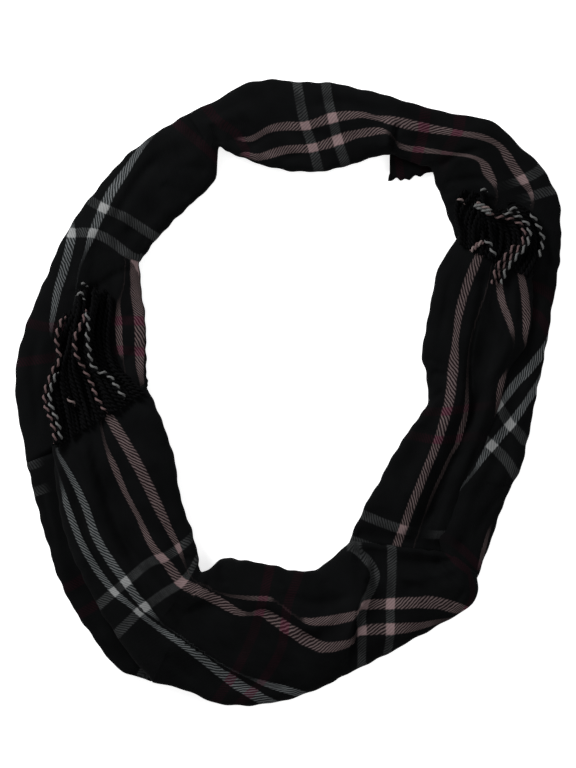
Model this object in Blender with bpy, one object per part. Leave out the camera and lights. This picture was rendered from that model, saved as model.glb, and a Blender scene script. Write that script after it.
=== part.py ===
"""A long checked muffler with a fringe at each end, folded lengthwise and laid in a ring.

The cloth is 300 mm wide and 1.8 m long. It is gathered into a soft band of three or four
layers, 55 to 110 mm wide, and wound one and a half times round an open middle. Each
stretch of the band that shows is one solid: a loft through upright sections, flat where it
rests, with its folded layers showing as rounded noses along both rims and its main
lengthwise folds as soft troughs and ridges on top. Where one turn lies on the other, the
upper stretch's solid holds the hidden layers below it too.

All sizes in the tables are millimetres, seen from above: +X right, +Y up, +Z off the floor.
Walking round the ring, the outer edge is the rim away from the ring's open middle.
"""
import math
from collections import namedtuple

import bmesh
import bpy
from mathutils import Vector
from mathutils.bvhtree import BVHTree

MM = 0.001
SEAM = 0.3              # gap between two stretches that touch
RINGS_PER_ROW = 2       # sections lofted from one table row to the next
TOP_POINTS = 11         # points across the top of a section
RIM_SHARE = 0.76        # share of the crown that the stack of folded layers takes up
BULGE = 3.0             # how far a folded layer stands out from the crease above it
RECESS = 2.6            # how far a lower layer may lie back from the top one at a rim
NOSE_START = 0.28       # a folded layer rounds over from here, in shares of its height,
NOSE_WIDEST = 0.60      # and stands out furthest here
DRIFT_BY_LAYER = 1.9    # how unlike each other the layers lie, in radians of a slow wave
DRIFT_BY_ROW = 0.9      # and how fast each wanders along the band
FAR_SIDE_TURN = 2.1     # the inner rim's layers wander out of step with the outer rim's
TOP_START = 0.10        # the top's first and last points, in shares of a half turn
DOME_SQUARENESS = 2.8   # the top is flatter in the middle the higher this is
DOME_SHOULDER = 0.6     # and its shoulders are fuller the lower this is
DEEPEST_FOLD = 0.45     # no fold goes below this share of the crown
FOLD_FADE = 3.5         # a fold reaches its full depth in this part of its length, one in so many
FRINGE_TIERS = 2        # layers of strands in a fringe
STRAND_TIP = 0.55       # thickness of a strand's tip, as a share of the strand
STRIP_BACK = 0.6        # where the strip's back looks for the cloth below it
SHARP_ANGLE = 50        # edges sharper than this many degrees are shaded as edges

STRAND = 2.5            # thickness of a fringe strand
TIER = 2.9              # rise from one tier of strands to the next
CLEAR = 0.4             # what a strand keeps from the cloth below it
STRIP_DEPTH = 3.0       # depth of the strip that holds a fringe's roots
STRAND_STEPS = 8        # lengths that a strand is made of

Row = namedtuple("Row", "outer inner crown corner", defaults=("",))
Fold = namedtuple("Fold", "first last at_first at_last spread depth lean", defaults=(0.0,))
Stretch = namedtuple("Stretch", "name layers colour rows folds")

# The upper left of the ring, single turn, down to where the left end lies on it
LEFT_OUTER = Stretch("left_outer_stretch", 2, (0.012, 0.013, 0.013), [
    Row((-74, 213), (-53, 185), 16),
    Row((-90, 204), (-55, 163), 17),
    Row((-105, 194), (-65, 151), 18),
    Row((-124, 179), (-78, 139), 18),
    Row((-141, 160), (-93, 124), 18),
    Row((-156, 141), (-105, 110), 17),
    Row((-171, 118), (-113, 99), 17, "inner"),
    Row((-182, 93), (-112, 81), 16),
    Row((-192, 70), (-109, 59), 16),
    Row((-203, 40), (-108, 36), 15),
    Row((-208, 11), (-108, 18), 15),
    Row((-206, -14), (-107, 9), 14.5),
    Row((-199, -54), (-107, 3), 14),
], [
    Fold(0, 4, 0.45, 0.30, 0.22, -1.6),
    Fold(2, 8, 0.20, 0.36, 0.16, 1.2),
    Fold(3, 7, 0.70, 0.62, 0.18, -1.4, 0.3),
    Fold(6.4, 12, 0.62, 0.66, 0.24, -4.0, -0.3),
    Fold(6.6, 11, 0.86, 0.84, 0.16, -2.2),
    Fold(8, 12, 0.30, 0.24, 0.12, -1.2),
])

# The lower turn's rim, which shows outside the left end that lies on it
LOWER_RIM = Stretch("lower_rim_stretch", 2, (0.014, 0.013, 0.014), [
    Row((-199, -54), (-179, -41.6), 12),
    Row((-195, -72), (-177, -63), 12),
    Row((-189, -96), (-174, -86), 11.5),
    Row((-182, -120), (-169, -109), 11.5),
    Row((-175, -142), (-161, -130), 11.5),
    Row((-163, -166), (-150, -152), 11),
    Row((-148, -188), (-137, -175), 10.5),
    Row((-130, -211), (-119, -201), 9.5, "inner"),
    Row((-107, -220.5), (-103, -220.5), 7, "inner"),
], [
    Fold(1, 7, 0.55, 0.50, 0.35, -1.0),
])

# The left end, lying on the lower turn
LEFT_END = Stretch("left_end_stretch", 3, (0.012, 0.012, 0.013), [
    Row((-179, -41.6), (-107, 3), 22),
    Row((-177, -63), (-99, -14), 25.5),
    Row((-174, -86), (-91, -35), 27),
    Row((-169, -109), (-85, -58), 27),
    Row((-161, -130), (-81, -82), 28),
    Row((-150, -152), (-73, -105), 28),
    Row((-137, -175), (-68, -125), 28),
    Row((-119, -201), (-65, -138), 28, "outer"),
], [
    Fold(0, 6.6, 0.44, 0.50, 0.20, -4.2, 0.45),
    Fold(0, 5, 0.16, 0.24, 0.12, -1.8, -0.2),
    Fold(1, 7, 0.30, 0.34, 0.14, 1.3),
    Fold(0, 7, 0.74, 0.70, 0.16, 1.6),
    Fold(3, 7, 0.88, 0.82, 0.12, -1.6, 0.2),
])

# The lower stretch of the ring, in one with the fold that turns its right corner
BOTTOM = Stretch("bottom_stretch", 3, (0.012, 0.013, 0.013), [
    Row((-119, -201), (-65, -138), 28, "outer"),
    Row((-103, -220.5), (-62, -132), 28, "outer"),
    Row((-82, -225), (-50, -127), 27.5),
    Row((-55, -236), (-33, -128), 27.5),
    Row((-29, -238), (-14, -131), 27.5),
    Row((2, -233), (9, -136), 28),
    Row((28, -223), (26, -132), 28),
    Row((51, -211), (47, -113), 28.5, "inner"),
    Row((74, -200), (68, -115.5), 24),
    Row((97, -187), (89, -118), 23),
    Row((119, -175), (104, -119.8), 22),
    Row((138, -163), (113, -120.9), 20.5),
    Row((145, -152), (118, -121.5), 19),
    Row((144, -141), (122, -122), 18),
], [
    Fold(0, 3, 0.52, 0.56, 0.18, -2.4, 0.4),
    Fold(1, 5, 0.22, 0.16, 0.14, -1.6),
    Fold(2, 7, 0.74, 0.66, 0.16, -2.0, -0.3),
    Fold(3, 7.6, 0.44, 0.40, 0.13, -1.6, 0.3),
    Fold(5, 8, 0.28, 0.32, 0.14, 1.4),
    Fold(7.6, 12, 0.52, 0.56, 0.14, -1.4),
    Fold(8, 13, 0.80, 0.74, 0.16, -2.6, 0.2),
])

# The right side's outer turn, under the right end and its fringe
RIGHT_OUTER = Stretch("right_outer_stretch", 2, (0.012, 0.013, 0.013), [
    Row((176, 188), (109, 170), 16),
    Row((192, 173), (113, 157), 16),
    Row((201, 159), (118, 146), 15.5),
    Row((207, 144), (123, 131), 15),
    Row((208, 127), (128, 117), 14.5, "inner"),
    Row((208, 112), (146, 108), 14),
    Row((207, 99), (165, 98.5), 14),
    Row((205, 87), (186, 88), 13.5, "inner"),
    Row((204, 78), (186, 78), 13.5),
    Row((202, 68), (186, 66), 13.5),
    Row((198, 42), (182, 38), 14),
    Row((194, 20), (169, 18), 15),
    Row((189, -3), (163, -4), 16),
    Row((184, -30), (154, -30), 17),
    Row((177, -59), (144, -55), 17),
    Row((167, -78), (135, -76), 17),
    Row((158, -103), (128, -99), 17),
    Row((150, -126), (123, -113), 17),
    Row((144, -141), (122, -122), 17),
], [
    Fold(0, 4, 0.34, 0.30, 0.16, -1.8),
    Fold(0, 5, 0.62, 0.70, 0.18, -2.6, 0.2),
    Fold(10, 16, 0.40, 0.46, 0.22, -1.2),
    Fold(13, 18, 0.70, 0.64, 0.22, 1.0),
])

# The right end, which comes out from under the lower stretch and lies up on the outer turn
RIGHT_END = Stretch("right_end_stretch", 3, (0.012, 0.012, 0.013), [
    Row((122, -122), (47, -113), 17),
    Row((123, -113), (51, -103), 17),
    Row((128, -99), (59, -86), 18),
    Row((135, -76), (70, -67), 19),
    Row((144, -55), (81, -46), 20),
    Row((154, -30), (95, -25), 21.5),
    Row((163, -4), (106, -8), 22.5),
    Row((169, 18), (105, 12), 23),
    Row((182, 38), (102, 32), 23.5),
    Row((186, 66), (108, 64), 23.5),
    Row((186, 78), (114, 93), 22.5),
    Row((186, 88), (128, 117), 20.5, "outer"),
], [
    Fold(0, 5, 0.30, 0.36, 0.18, -3.6, 0.2),
    Fold(4, 11, 0.34, 0.42, 0.22, -6.0, 0.1),
    Fold(5, 11, 0.14, 0.20, 0.14, 1.2),
    Fold(2, 9, 0.82, 0.78, 0.16, -1.5),
    Fold(0, 7, 0.62, 0.64, 0.14, 1.0),
])

# The top of the ring, single turn, from the right corner to the twist on the left
TOP = Stretch("top_stretch", 2, (0.012, 0.013, 0.013), [
    Row((176, 188), (109, 170), 16),
    Row((156, 206), (99, 173), 17),
    Row((132, 211), (89, 177), 17),
    Row((108, 216), (78, 181), 18, "inner"),
    Row((85, 223), (67, 179), 19),
    Row((59, 230), (47, 173), 19),
    Row((32, 235.5), (26, 168), 19),
    Row((9, 236), (4, 168), 19),
    Row((-12, 238), (-17, 172), 18.5),
    Row((-32, 235), (-34, 178), 18),
    Row((-52, 224), (-46, 183), 17),
    Row((-74, 213), (-53, 185), 16),
], [
    Fold(0, 3.4, 0.60, 0.58, 0.16, -2.0, 0.3),
    Fold(2, 8, 0.28, 0.22, 0.18, -1.2),
    Fold(4, 9, 0.68, 0.60, 0.15, -1.6, -0.2),
    Fold(6, 10, 0.84, 0.70, 0.14, -1.8, 0.3),
    Fold(8, 11, 0.36, 0.46, 0.18, 1.4),
])

# A corner of the selvage that sticks out below the top's tuck
FLAP = Stretch("selvage_flap", 1, (0.016, 0.014, 0.015), [
    Row((79, 180.7), (80, 162), 5.5),
    Row((89, 176.9), (91, 162), 5.5),
    Row((99, 172.9), (101, 165.5), 5),
    Row((107, 170.4), (108, 168), 4),
], [])

# Fringes: the line of their roots, and guides that their strands fan out along, left to right
Fringe = namedtuple("Fringe", "name below start end columns guides")
LEFT_FRINGE = Fringe(
    "left_fringe", "left_outer_stretch", (-177.6, -40.4), (-109.2, 2.0), 11, [
        [(-176, -39), (-179, -24), (-180, -12), (-184, -3), (-182, 9), (-176, 21), (-173, 33),
         (-172, 45), (-167, 59)],
        [(-166, -32), (-168, -17), (-171, -5), (-173, 8), (-171, 20), (-167, 32), (-165, 44),
         (-163, 56), (-160, 68)],
        [(-143, -18), (-148, -4), (-152, 9), (-157, 21), (-159, 32), (-159, 44), (-157, 55),
         (-153, 65), (-153, 81)],
        [(-129, -10), (-137, 2), (-143, 12), (-148, 22), (-151, 32), (-151, 43), (-149, 54),
         (-147, 64), (-146, 78)],
        [(-118, -3), (-126, 8), (-132, 18), (-137, 29), (-140, 41), (-140, 52), (-138, 62),
         (-136, 70), (-135, 78)],
        [(-109, 2), (-115, 12), (-119, 22), (-122, 32), (-124, 42), (-125, 52), (-125, 60),
         (-124, 68), (-123, 75)],
    ])
RIGHT_FRINGE = Fringe(
    "right_fringe", "right_outer_stretch", (130.2, 116.2), (184.6, 89.0), 10, [
        [(130, 116), (128, 122), (125, 129), (125, 136), (127, 142), (130, 148), (133, 153)],
        [(139, 111), (137, 118), (137, 125), (139, 132), (142, 139), (146, 146), (149, 153)],
        [(149, 106), (149, 113), (149, 119), (149, 125), (148, 131), (146, 136), (142, 141)],
        [(160, 101), (162, 108), (163, 115), (163, 121), (160, 127), (155, 131), (149, 133)],
        [(172, 95), (176, 104), (179, 113), (179, 121), (174, 129), (165, 134), (155, 138)],
        [(184, 90), (190, 99), (192, 109), (192, 120), (187, 131), (179, 139), (168, 144)],
    ])

CLOTH_STRETCHES = [LEFT_OUTER, LOWER_RIM, LEFT_END, BOTTOM, RIGHT_OUTER, RIGHT_END, TOP, FLAP]
FRINGES = [LEFT_FRINGE, RIGHT_FRINGE]
FRINGE_COLOUR = (0.10, 0.08, 0.085)
CLOTH_ROUGHNESS = 0.95


def clear_scene():
    for item in list(bpy.data.objects):
        bpy.data.objects.remove(item, do_unlink=True)


def cloth_material(name, colour):
    material = bpy.data.materials.new(name)
    material.use_nodes = True
    shader = material.node_tree.nodes["Principled BSDF"]
    shader.inputs["Base Color"].default_value = (*colour, 1.0)
    shader.inputs["Roughness"].default_value = CLOTH_ROUGHNESS
    shader.inputs["Metallic"].default_value = 0.0
    return material


def curve_point(points, corners, position):
    """A smooth curve through the points, one unit of position from each to the next.

    It comes to a stop at each corner, so that it can turn there without swinging wide.
    """
    last = len(points) - 1
    start = min(int(position), last - 1)
    share = position - start

    def slope(index):
        if corners[index]:
            return Vector((0.0, 0.0))
        before = points[max(index - 1, 0)]
        after = points[min(index + 1, last)]
        span = min(index + 1, last) - max(index - 1, 0)
        return (after - before) / span

    a, b = points[start], points[start + 1]
    share_2, share_3 = share ** 2, share ** 3
    return (a * (2 * share_3 - 3 * share_2 + 1) + slope(start) * (share_3 - 2 * share_2 + share)
            + b * (3 * share_2 - 2 * share_3) + slope(start + 1) * (share_3 - share_2))


def edge_at(rows, edge, position):
    points = [Vector(getattr(row, edge)) for row in rows]
    corners = [row.corner in (edge, "both") for row in rows]
    return curve_point(points, corners, position)


def crown_at(rows, position):
    """The height of the top's middle, eased from row to row."""
    start = min(int(position), len(rows) - 2)
    share = position - start
    eased = share * share * (3 - 2 * share)
    return rows[start].crown * (1 - eased) + rows[start + 1].crown * eased


def fold_height(folds, position, across):
    """What the lengthwise folds add to the top, at a place along and across the band."""
    total = 0.0
    for fold in folds:
        along = (position - fold.first) / (fold.last - fold.first)
        if not 0 < along < 1:
            continue
        fade = min(1.0, FOLD_FADE * min(along, 1 - along))
        middle = fold.at_first + (fold.at_last - fold.at_first) * along
        offset = (across - middle) / fold.spread
        side = 1 + fold.lean if offset < fold.lean else 1 - fold.lean
        reach = abs(offset - fold.lean) / side
        if reach < 1:
            total += fold.depth * fade * math.cos(reach * math.pi / 2) ** 2
    return total


def section(width, crown, layers, folds, position):
    """One upright section as (distance from the outer edge, height), round from the outer rim."""
    rim = crown * RIM_SHARE
    nose = rim / layers
    bulge = min(BULGE, 0.42 * nose, 0.10 * width)
    deepest = min(RECESS, 0.08 * width)
    sides = []
    for turn in (0.0, FAR_SIDE_TURN):
        side = []
        for layer in range(layers):
            foot = layer * nose
            wave = turn + DRIFT_BY_LAYER * layer + DRIFT_BY_ROW * position
            drift = 0.5 + 0.5 * math.sin(wave)
            back = deepest * drift if layer < layers - 1 else 0.0
            if layer == 0:
                side.append((back + 0.8 * bulge, 0.0))
            side.append((back + 0.10 * bulge, foot + NOSE_START * nose))
            side.append((back, foot + NOSE_WIDEST * nose))
            if layer < layers - 1:
                side.append((back + bulge, foot + nose))
        sides.append(side)
    top = []
    for index in range(TOP_POINTS):
        share = index / (TOP_POINTS - 1)
        turned = math.pi * (TOP_START + (1 - 2 * TOP_START) * share)
        across = 0.5 - 0.5 * math.cos(turned)
        dome = (1 - abs(2 * across - 1) ** DOME_SQUARENESS) ** DOME_SHOULDER
        height = rim + (crown - rim) * dome + fold_height(folds, position, across)
        top.append((across * width, max(height, DEEPEST_FOLD * crown)))
    far_side = [(width - distance, height) for distance, height in reversed(sides[1])]
    return sides[0] + top + far_side


def loft(stretch):
    """The solid of one stretch, from its first row's section to its last row's."""
    rows = stretch.rows
    count = (len(rows) - 1) * RINGS_PER_ROW + 1
    frames = []
    for ring in range(count):
        position = ring / RINGS_PER_ROW
        outer, inner = edge_at(rows, "outer", position), edge_at(rows, "inner", position)
        frames.append((position, outer, inner, (inner - outer).normalized()))
    mesh = bmesh.new()
    rings = []
    for index, (position, outer, inner, across) in enumerate(frames):
        back = Vector((0.0, 0.0))
        if index in (0, count - 1):
            inward = frames[1 if index == 0 else count - 2]
            square = Vector((-across.y, across.x))
            towards = (inward[1] + inward[2] - outer - inner).dot(square)
            back = square * math.copysign(SEAM / 2, towards)
        start = outer + across * (SEAM / 2) + back
        width = (inner - outer).length - SEAM
        profile = section(width, crown_at(rows, position), stretch.layers, stretch.folds, position)
        rings.append([
            mesh.verts.new(Vector((*(start + across * distance), height)) * MM)
            for distance, height in profile])
    for one, two in zip(rings, rings[1:]):
        for a in range(len(one)):
            b = (a + 1) % len(one)
            mesh.faces.new((one[a], one[b], two[b], two[a]))
    mesh.faces.new(rings[0])
    mesh.faces.new(list(reversed(rings[-1])))
    bmesh.ops.recalc_face_normals(mesh, faces=mesh.faces[:])
    return mesh


def place(name, mesh, colour):
    """Keeps a finished mesh as an object with its own material."""
    data = bpy.data.meshes.new(name)
    mesh.to_mesh(data)
    mesh.free()
    data.shade_smooth()
    data.set_sharp_from_angle(angle=math.radians(SHARP_ANGLE))
    item = bpy.data.objects.new(name, data)
    bpy.context.scene.collection.objects.link(item)
    data.materials.append(cloth_material(name + "_cloth", colour))
    return item


def surface_of(item):
    """Looks straight down on a finished piece: the height of its top, or None beside it."""
    tree = BVHTree.FromPolygons([vert.co for vert in item.data.vertices],
                                [face.vertices for face in item.data.polygons])

    def height(point):
        hit = tree.ray_cast(Vector((point.x * MM, point.y * MM, 1.0)), Vector((0, 0, -1)))[0]
        return hit.z / MM if hit else None

    return height


def highest_near(height, point, reach=1.6):
    """The highest top within a strand's width of a point."""
    found = []
    for step_x in (-reach, 0.0, reach):
        for step_y in (-reach, 0.0, reach):
            found.append(height(point + Vector((step_x, step_y))))
    return max([value for value in found if value is not None], default=0.0)


def fan_route(guides, share):
    """A strand's route between the two guides that it grows between."""
    place_in_fan = share * (len(guides) - 1)
    left = min(int(place_in_fan), len(guides) - 2)
    blend = place_in_fan - left
    return [Vector(a).lerp(Vector(b), blend) for a, b in zip(guides[left], guides[left + 1])]


def fringe(spec, below):
    """A fringe: a narrow strip with two tiers of square strands drawn out of its front."""
    height = surface_of(below)
    start, end = Vector(spec.start), Vector(spec.end)
    along = (end - start).normalized()
    front = Vector((-along.y, along.x))
    if front.dot(Vector(spec.guides[0][1]) - Vector(spec.guides[0][0])) < 0:
        front = -front
    posts = spec.columns + 1
    floors = []
    for index in range(posts):
        foot = start.lerp(end, index / (posts - 1))
        near = [highest_near(height, foot + front * out) for out in (STRIP_BACK, STRIP_DEPTH)]
        floors.append(max(near) + CLEAR)
    mesh = bmesh.new()

    def corner(index, out, level):
        foot = start.lerp(end, index / (posts - 1)) + front * out
        return mesh.verts.new(Vector((*foot, floors[index] + level * TIER)) * MM)

    levels = range(FRINGE_TIERS + 1)
    faces = [[corner(i, STRIP_DEPTH, level) for i in range(posts)] for level in levels]
    backs = [[corner(i, 0.0, level) for i in range(posts)] for level in (0, FRINGE_TIERS)]
    cells = []
    for i in range(posts - 1):
        for level in range(FRINGE_TIERS):
            cell = mesh.faces.new((faces[level][i], faces[level][i + 1],
                                   faces[level + 1][i + 1], faces[level + 1][i]))
            cells.append((i, level, cell))
        mesh.faces.new((backs[0][i], backs[0][i + 1], backs[1][i + 1], backs[1][i]))
        mesh.faces.new((faces[0][i], faces[0][i + 1], backs[0][i + 1], backs[0][i]))
        mesh.faces.new((faces[-1][i], faces[-1][i + 1], backs[1][i + 1], backs[1][i]))
    for i in (0, posts - 1):
        mesh.faces.new([row[i] for row in faces] + [backs[1][i], backs[0][i]])
    bmesh.ops.recalc_face_normals(mesh, faces=mesh.faces[:])
    for i, level, cell in cells:
        share = (i + 0.5) / (posts - 1)
        bmesh.ops.inset_individual(mesh, faces=[cell], thickness=0.0)
        route = fan_route(spec.guides, share)
        draw_strand(mesh, cell, route, level, height)
    bmesh.ops.recalc_face_normals(mesh, faces=mesh.faces[:])
    return mesh


def draw_strand(mesh, cell, route, level, height):
    """Draws one strand out of its cell of the strip and along its route."""
    corners = [False] * len(route)
    points = []
    for step in range(STRAND_STEPS + 1):
        where = curve_point(route, corners, (len(route) - 1) * step / STRAND_STEPS)
        points.append(where)
    centre = cell.calc_center_median()
    points[0] = Vector((centre.x, centre.y)) / MM
    heights = [centre.z / MM]
    for point in points[1:]:
        heights.append(highest_near(height, point) + CLEAR + STRAND / 2 + level * TIER)
    face = cell
    for step in range(STRAND_STEPS + 1):
        ahead = points[min(step + 1, STRAND_STEPS)] - points[max(step - 1, 0)]
        ahead.normalize()
        square = Vector((-ahead.y, ahead.x))
        if step > 0:
            face = bmesh.ops.extrude_discrete_faces(mesh, faces=[face])["faces"][0]
        taper = 1.0 if step < STRAND_STEPS else STRAND_TIP
        place_ring(face, points[step], heights[step], square, taper)


def place_ring(face, point, level, square, taper):
    """Sets a face's four corners round a point of a strand, keeping which side each is on."""
    middle = face.calc_center_median()
    half = STRAND / 2 * taper
    flat = Vector((square.x, square.y, 0.0))
    for vert in face.verts:
        offset = vert.co - middle
        side = math.copysign(half, offset.dot(flat))
        rise = math.copysign(half, offset.z)
        vert.co = Vector((point.x + flat.x * side, point.y + flat.y * side, level + rise)) * MM


def main():
    clear_scene()
    made = {}
    for stretch in CLOTH_STRETCHES:
        made[stretch.name] = place(stretch.name, loft(stretch), stretch.colour)
    for spec in FRINGES:
        made[spec.name] = place(spec.name, fringe(spec, made[spec.below]), FRINGE_COLOUR)
    for name, item in made.items():
        print(name, len(item.data.polygons), "faces")


main()
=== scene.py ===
# %% [markdown]
# # A check muffler laid in a ring
# One long fringed cloth, folded lengthwise into a soft band and laid flat in a ring of one
# and a half turns. Tables are in millimetres, seen from above: +X right, +Y up, +Z off the
# floor.

# %% The frame
import math
from collections import namedtuple

import bmesh
import bpy
import numpy as np
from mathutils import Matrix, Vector
from mathutils.bvhtree import BVHTree


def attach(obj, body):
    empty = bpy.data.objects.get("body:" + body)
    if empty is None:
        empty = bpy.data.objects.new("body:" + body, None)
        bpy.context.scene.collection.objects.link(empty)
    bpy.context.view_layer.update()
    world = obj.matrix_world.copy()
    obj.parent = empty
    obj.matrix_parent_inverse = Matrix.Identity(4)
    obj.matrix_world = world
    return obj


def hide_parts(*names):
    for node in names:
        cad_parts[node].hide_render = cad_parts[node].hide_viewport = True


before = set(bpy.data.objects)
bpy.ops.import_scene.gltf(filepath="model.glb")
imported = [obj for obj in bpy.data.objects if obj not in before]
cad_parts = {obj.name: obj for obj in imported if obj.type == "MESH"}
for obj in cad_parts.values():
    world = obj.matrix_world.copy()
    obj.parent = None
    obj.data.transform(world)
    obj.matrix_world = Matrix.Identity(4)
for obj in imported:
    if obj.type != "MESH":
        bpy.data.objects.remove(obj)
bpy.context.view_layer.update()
MM = 0.001
print("solids:", sorted(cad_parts))

# %% Helpers for every object
def add_object(name, data):
    """A new object in the scene."""
    made = bpy.data.objects.new(name, data)
    bpy.context.scene.collection.objects.link(made)
    return made


def mesh_from(shape, name):
    """A mesh with the shape that a bmesh holds, which is then freed."""
    mesh = bpy.data.meshes.new(name)
    shape.to_mesh(mesh)
    shape.free()
    return mesh


def set_inputs(node, values):
    """Plain values for a node's inputs, by name."""
    for name, value in values.items():
        node.inputs[name].default_value = value


print("helpers ready")

# %% [markdown]
# ## Camera, floor and light
# The photograph looks straight down at the ring. A long lens far above it keeps the rims
# upright, as in a shop's cut-out picture. The floor is white and the light comes from a
# bright sky with two large soft lamps, so that the dark cloth keeps some shape.

# %% Camera
IMAGE_HEIGHT = 768             # the photograph's height in its own pixels
MM_PER_PIXEL = 0.76            # real size of one pixel on the cloth
SENSOR = 36.0                  # on the picture's longer side
CAMERA_HEIGHT = 2.5            # metres above the middle of the cloth
CLOTH_LEVEL = 0.015
VIEW_CENTRE_Y = 0.0061         # where the picture's middle falls on the ring

camera_data = bpy.data.cameras.new("camera")
camera_data.sensor_fit = "VERTICAL"
camera_data.sensor_height = SENSOR
view_height = IMAGE_HEIGHT * MM_PER_PIXEL * MM
camera_data.lens = SENSOR * CAMERA_HEIGHT / view_height
camera = add_object("camera", camera_data)
camera.location = (0.0, VIEW_CENTRE_Y, CLOTH_LEVEL + CAMERA_HEIGHT)
bpy.context.scene.camera = camera
bpy.context.scene.view_settings.view_transform = "Standard"
print("lens", round(camera_data.lens, 1), "mm")

# %% Floor
FLOOR_HALF = 3.0
FLOOR_GLOW = 0.72              # the backdrop is lit on its own, so it stays white
floor_square = bmesh.new()
bmesh.ops.create_grid(floor_square, x_segments=1, y_segments=1, size=FLOOR_HALF)
floor_data = mesh_from(floor_square, "floor")
floor = add_object("floor", floor_data)
floor_paint = bpy.data.materials.new("white_floor")
floor_paint.use_nodes = True
set_inputs(floor_paint.node_tree.nodes["Principled BSDF"], {
    "Base Color": (0.80, 0.80, 0.80, 1.0),
    "Roughness": 0.9,
    "Specular IOR Level": 0.0,
    "Emission Color": (1.0, 1.0, 1.0, 1.0),
    "Emission Strength": FLOOR_GLOW,
})
floor_data.materials.append(floor_paint)
print("floor", 2 * FLOOR_HALF, "m wide")

# %% Light
SKY_STRENGTH = 0.42
world = bpy.data.worlds.new("studio")
bpy.context.scene.world = world
world.use_nodes = True
set_inputs(world.node_tree.nodes["Background"], {
    "Color": (1.0, 1.0, 1.0, 1.0),
    "Strength": SKY_STRENGTH,
})

Lamp = namedtuple("Lamp", "name place size power")
LAMPS = [
    Lamp("key", (-0.95, 1.05, 0.85), 0.6, 34.0),
    Lamp("fill", (1.2, -0.3, 1.3), 1.0, 6.0),
]
for lamp in LAMPS:
    light_data = bpy.data.lights.new(lamp.name, "AREA")
    light_data.size = lamp.size
    light_data.energy = lamp.power
    light = add_object(lamp.name, light_data)
    light.location = lamp.place
    aim = Vector((0.0, 0.0, 0.0)) - Vector(lamp.place)
    light.rotation_euler = aim.to_track_quat("-Z", "Y").to_euler()
print(len(LAMPS), "lamps")

# %% [markdown]
# ## The band's two rims
# A folded muffler has no pattern pieces: what shapes it is where its two long rims run and
# how high it stands between them. Each row of these tables is one place along the band, with
# a point on the outer rim, a point on the inner rim and the height of its crown. They follow
# the rows that the solids are lofted through. A rim named as a corner turns there. Three
# things differ. Two inner rims run on, the lower rim's under the left end and the right
# side's under the right end, so that they meet in a soft valley with no gap between them, as
# one piece of cloth pressed against another does. The notch below the left end lies 2 to 4 mm
# off. The selvage corner has more rows, for its ragged hem, and starts further in.

# %% Rows of the band
Row = namedtuple("Row", "outer inner crown corner", defaults=("",))

LEFT_OUTER = [
    Row((-74, 213), (-53, 185), 16),
    Row((-90, 204), (-55, 163), 17),
    Row((-105, 194), (-65, 151), 18),
    Row((-124, 179), (-78, 139), 18),
    Row((-141, 160), (-93, 124), 18),
    Row((-156, 141), (-105, 110), 17),
    Row((-171, 118), (-113, 99), 17, "inner"),
    Row((-182, 93), (-112, 81), 16),
    Row((-192, 70), (-109, 59), 16),
    Row((-203, 40), (-108, 36), 15),
    Row((-208, 11), (-108, 18), 15),
    Row((-206, -14), (-107, 9), 14.5),
    Row((-199, -54), (-107, 3), 14),
]
LOWER_RIM = [
    Row((-199, -54), (-167, -45), 12),
    Row((-195, -72), (-165, -66), 12),
    Row((-189, -96), (-162, -90.5), 11.5),
    Row((-182, -120), (-157, -115), 11.5),
    Row((-175, -142), (-150, -136), 11.5),
    Row((-163, -166), (-136, -160.5), 11),
    Row((-148, -188), (-122, -183), 10.5),
    Row((-130, -211), (-110, -200), 9.5, "inner"),
    Row((-109, -219), (-95, -211), 7, "inner"),
]
LEFT_END = [
    Row((-179, -41.6), (-107, 3), 22),
    Row((-177, -63), (-99, -14), 25.5),
    Row((-174, -86), (-91, -35), 27),
    Row((-169, -109), (-85, -58), 27),
    Row((-161, -130), (-81, -82), 28),
    Row((-150, -152), (-73, -105), 28),
    Row((-137, -175), (-68, -125), 28),
    Row((-119, -201), (-67, -135.5), 28, "outer"),
]
BOTTOM = [
    Row((-119, -201), (-67, -135.5), 28, "outer"),
    Row((-103, -220.5), (-61.5, -135.5), 28, "outer"),
    Row((-82, -225), (-50, -127), 27.5),
    Row((-55, -236), (-33, -128), 27.5),
    Row((-29, -238), (-14, -131), 27.5),
    Row((2, -233), (9, -136), 28),
    Row((28, -223), (26, -132), 28),
    Row((51, -211), (47, -113), 28.5, "inner"),
    Row((74, -200), (68, -115.5), 24),
    Row((97, -187), (89, -118), 23),
    Row((119, -175), (104, -119.8), 22),
    Row((138, -163), (113, -120.9), 20.5),
    Row((145, -152), (118, -121.5), 19),
    Row((144, -141), (122, -122), 18),
]
RIGHT_OUTER = [
    Row((176, 188), (109, 170), 16),
    Row((192, 173), (113, 157), 16),
    Row((201, 159), (118, 146), 15.5),
    Row((207, 144), (123, 131), 15),
    Row((208, 127), (128, 117), 14.5, "inner"),
    Row((208, 112), (140, 98), 14),
    Row((207, 99), (157, 87), 14),
    Row((205, 87), (175, 78), 13.5, "inner"),
    Row((204, 78), (174, 72), 13.5),
    Row((202, 68), (172, 62), 13.5),
    Row((198, 42), (170, 39), 14),
    Row((194, 20), (160, 19), 15),
    Row((189, -3), (150, -3), 16),
    Row((184, -30), (143, -28), 17),
    Row((177, -59), (135, -52), 17),
    Row((167, -78), (125, -72), 17),
    Row((158, -103), (118, -95), 17),
    Row((150, -126), (114, -108), 17),
    Row((144, -141), (116, -118), 17),
]
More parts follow.
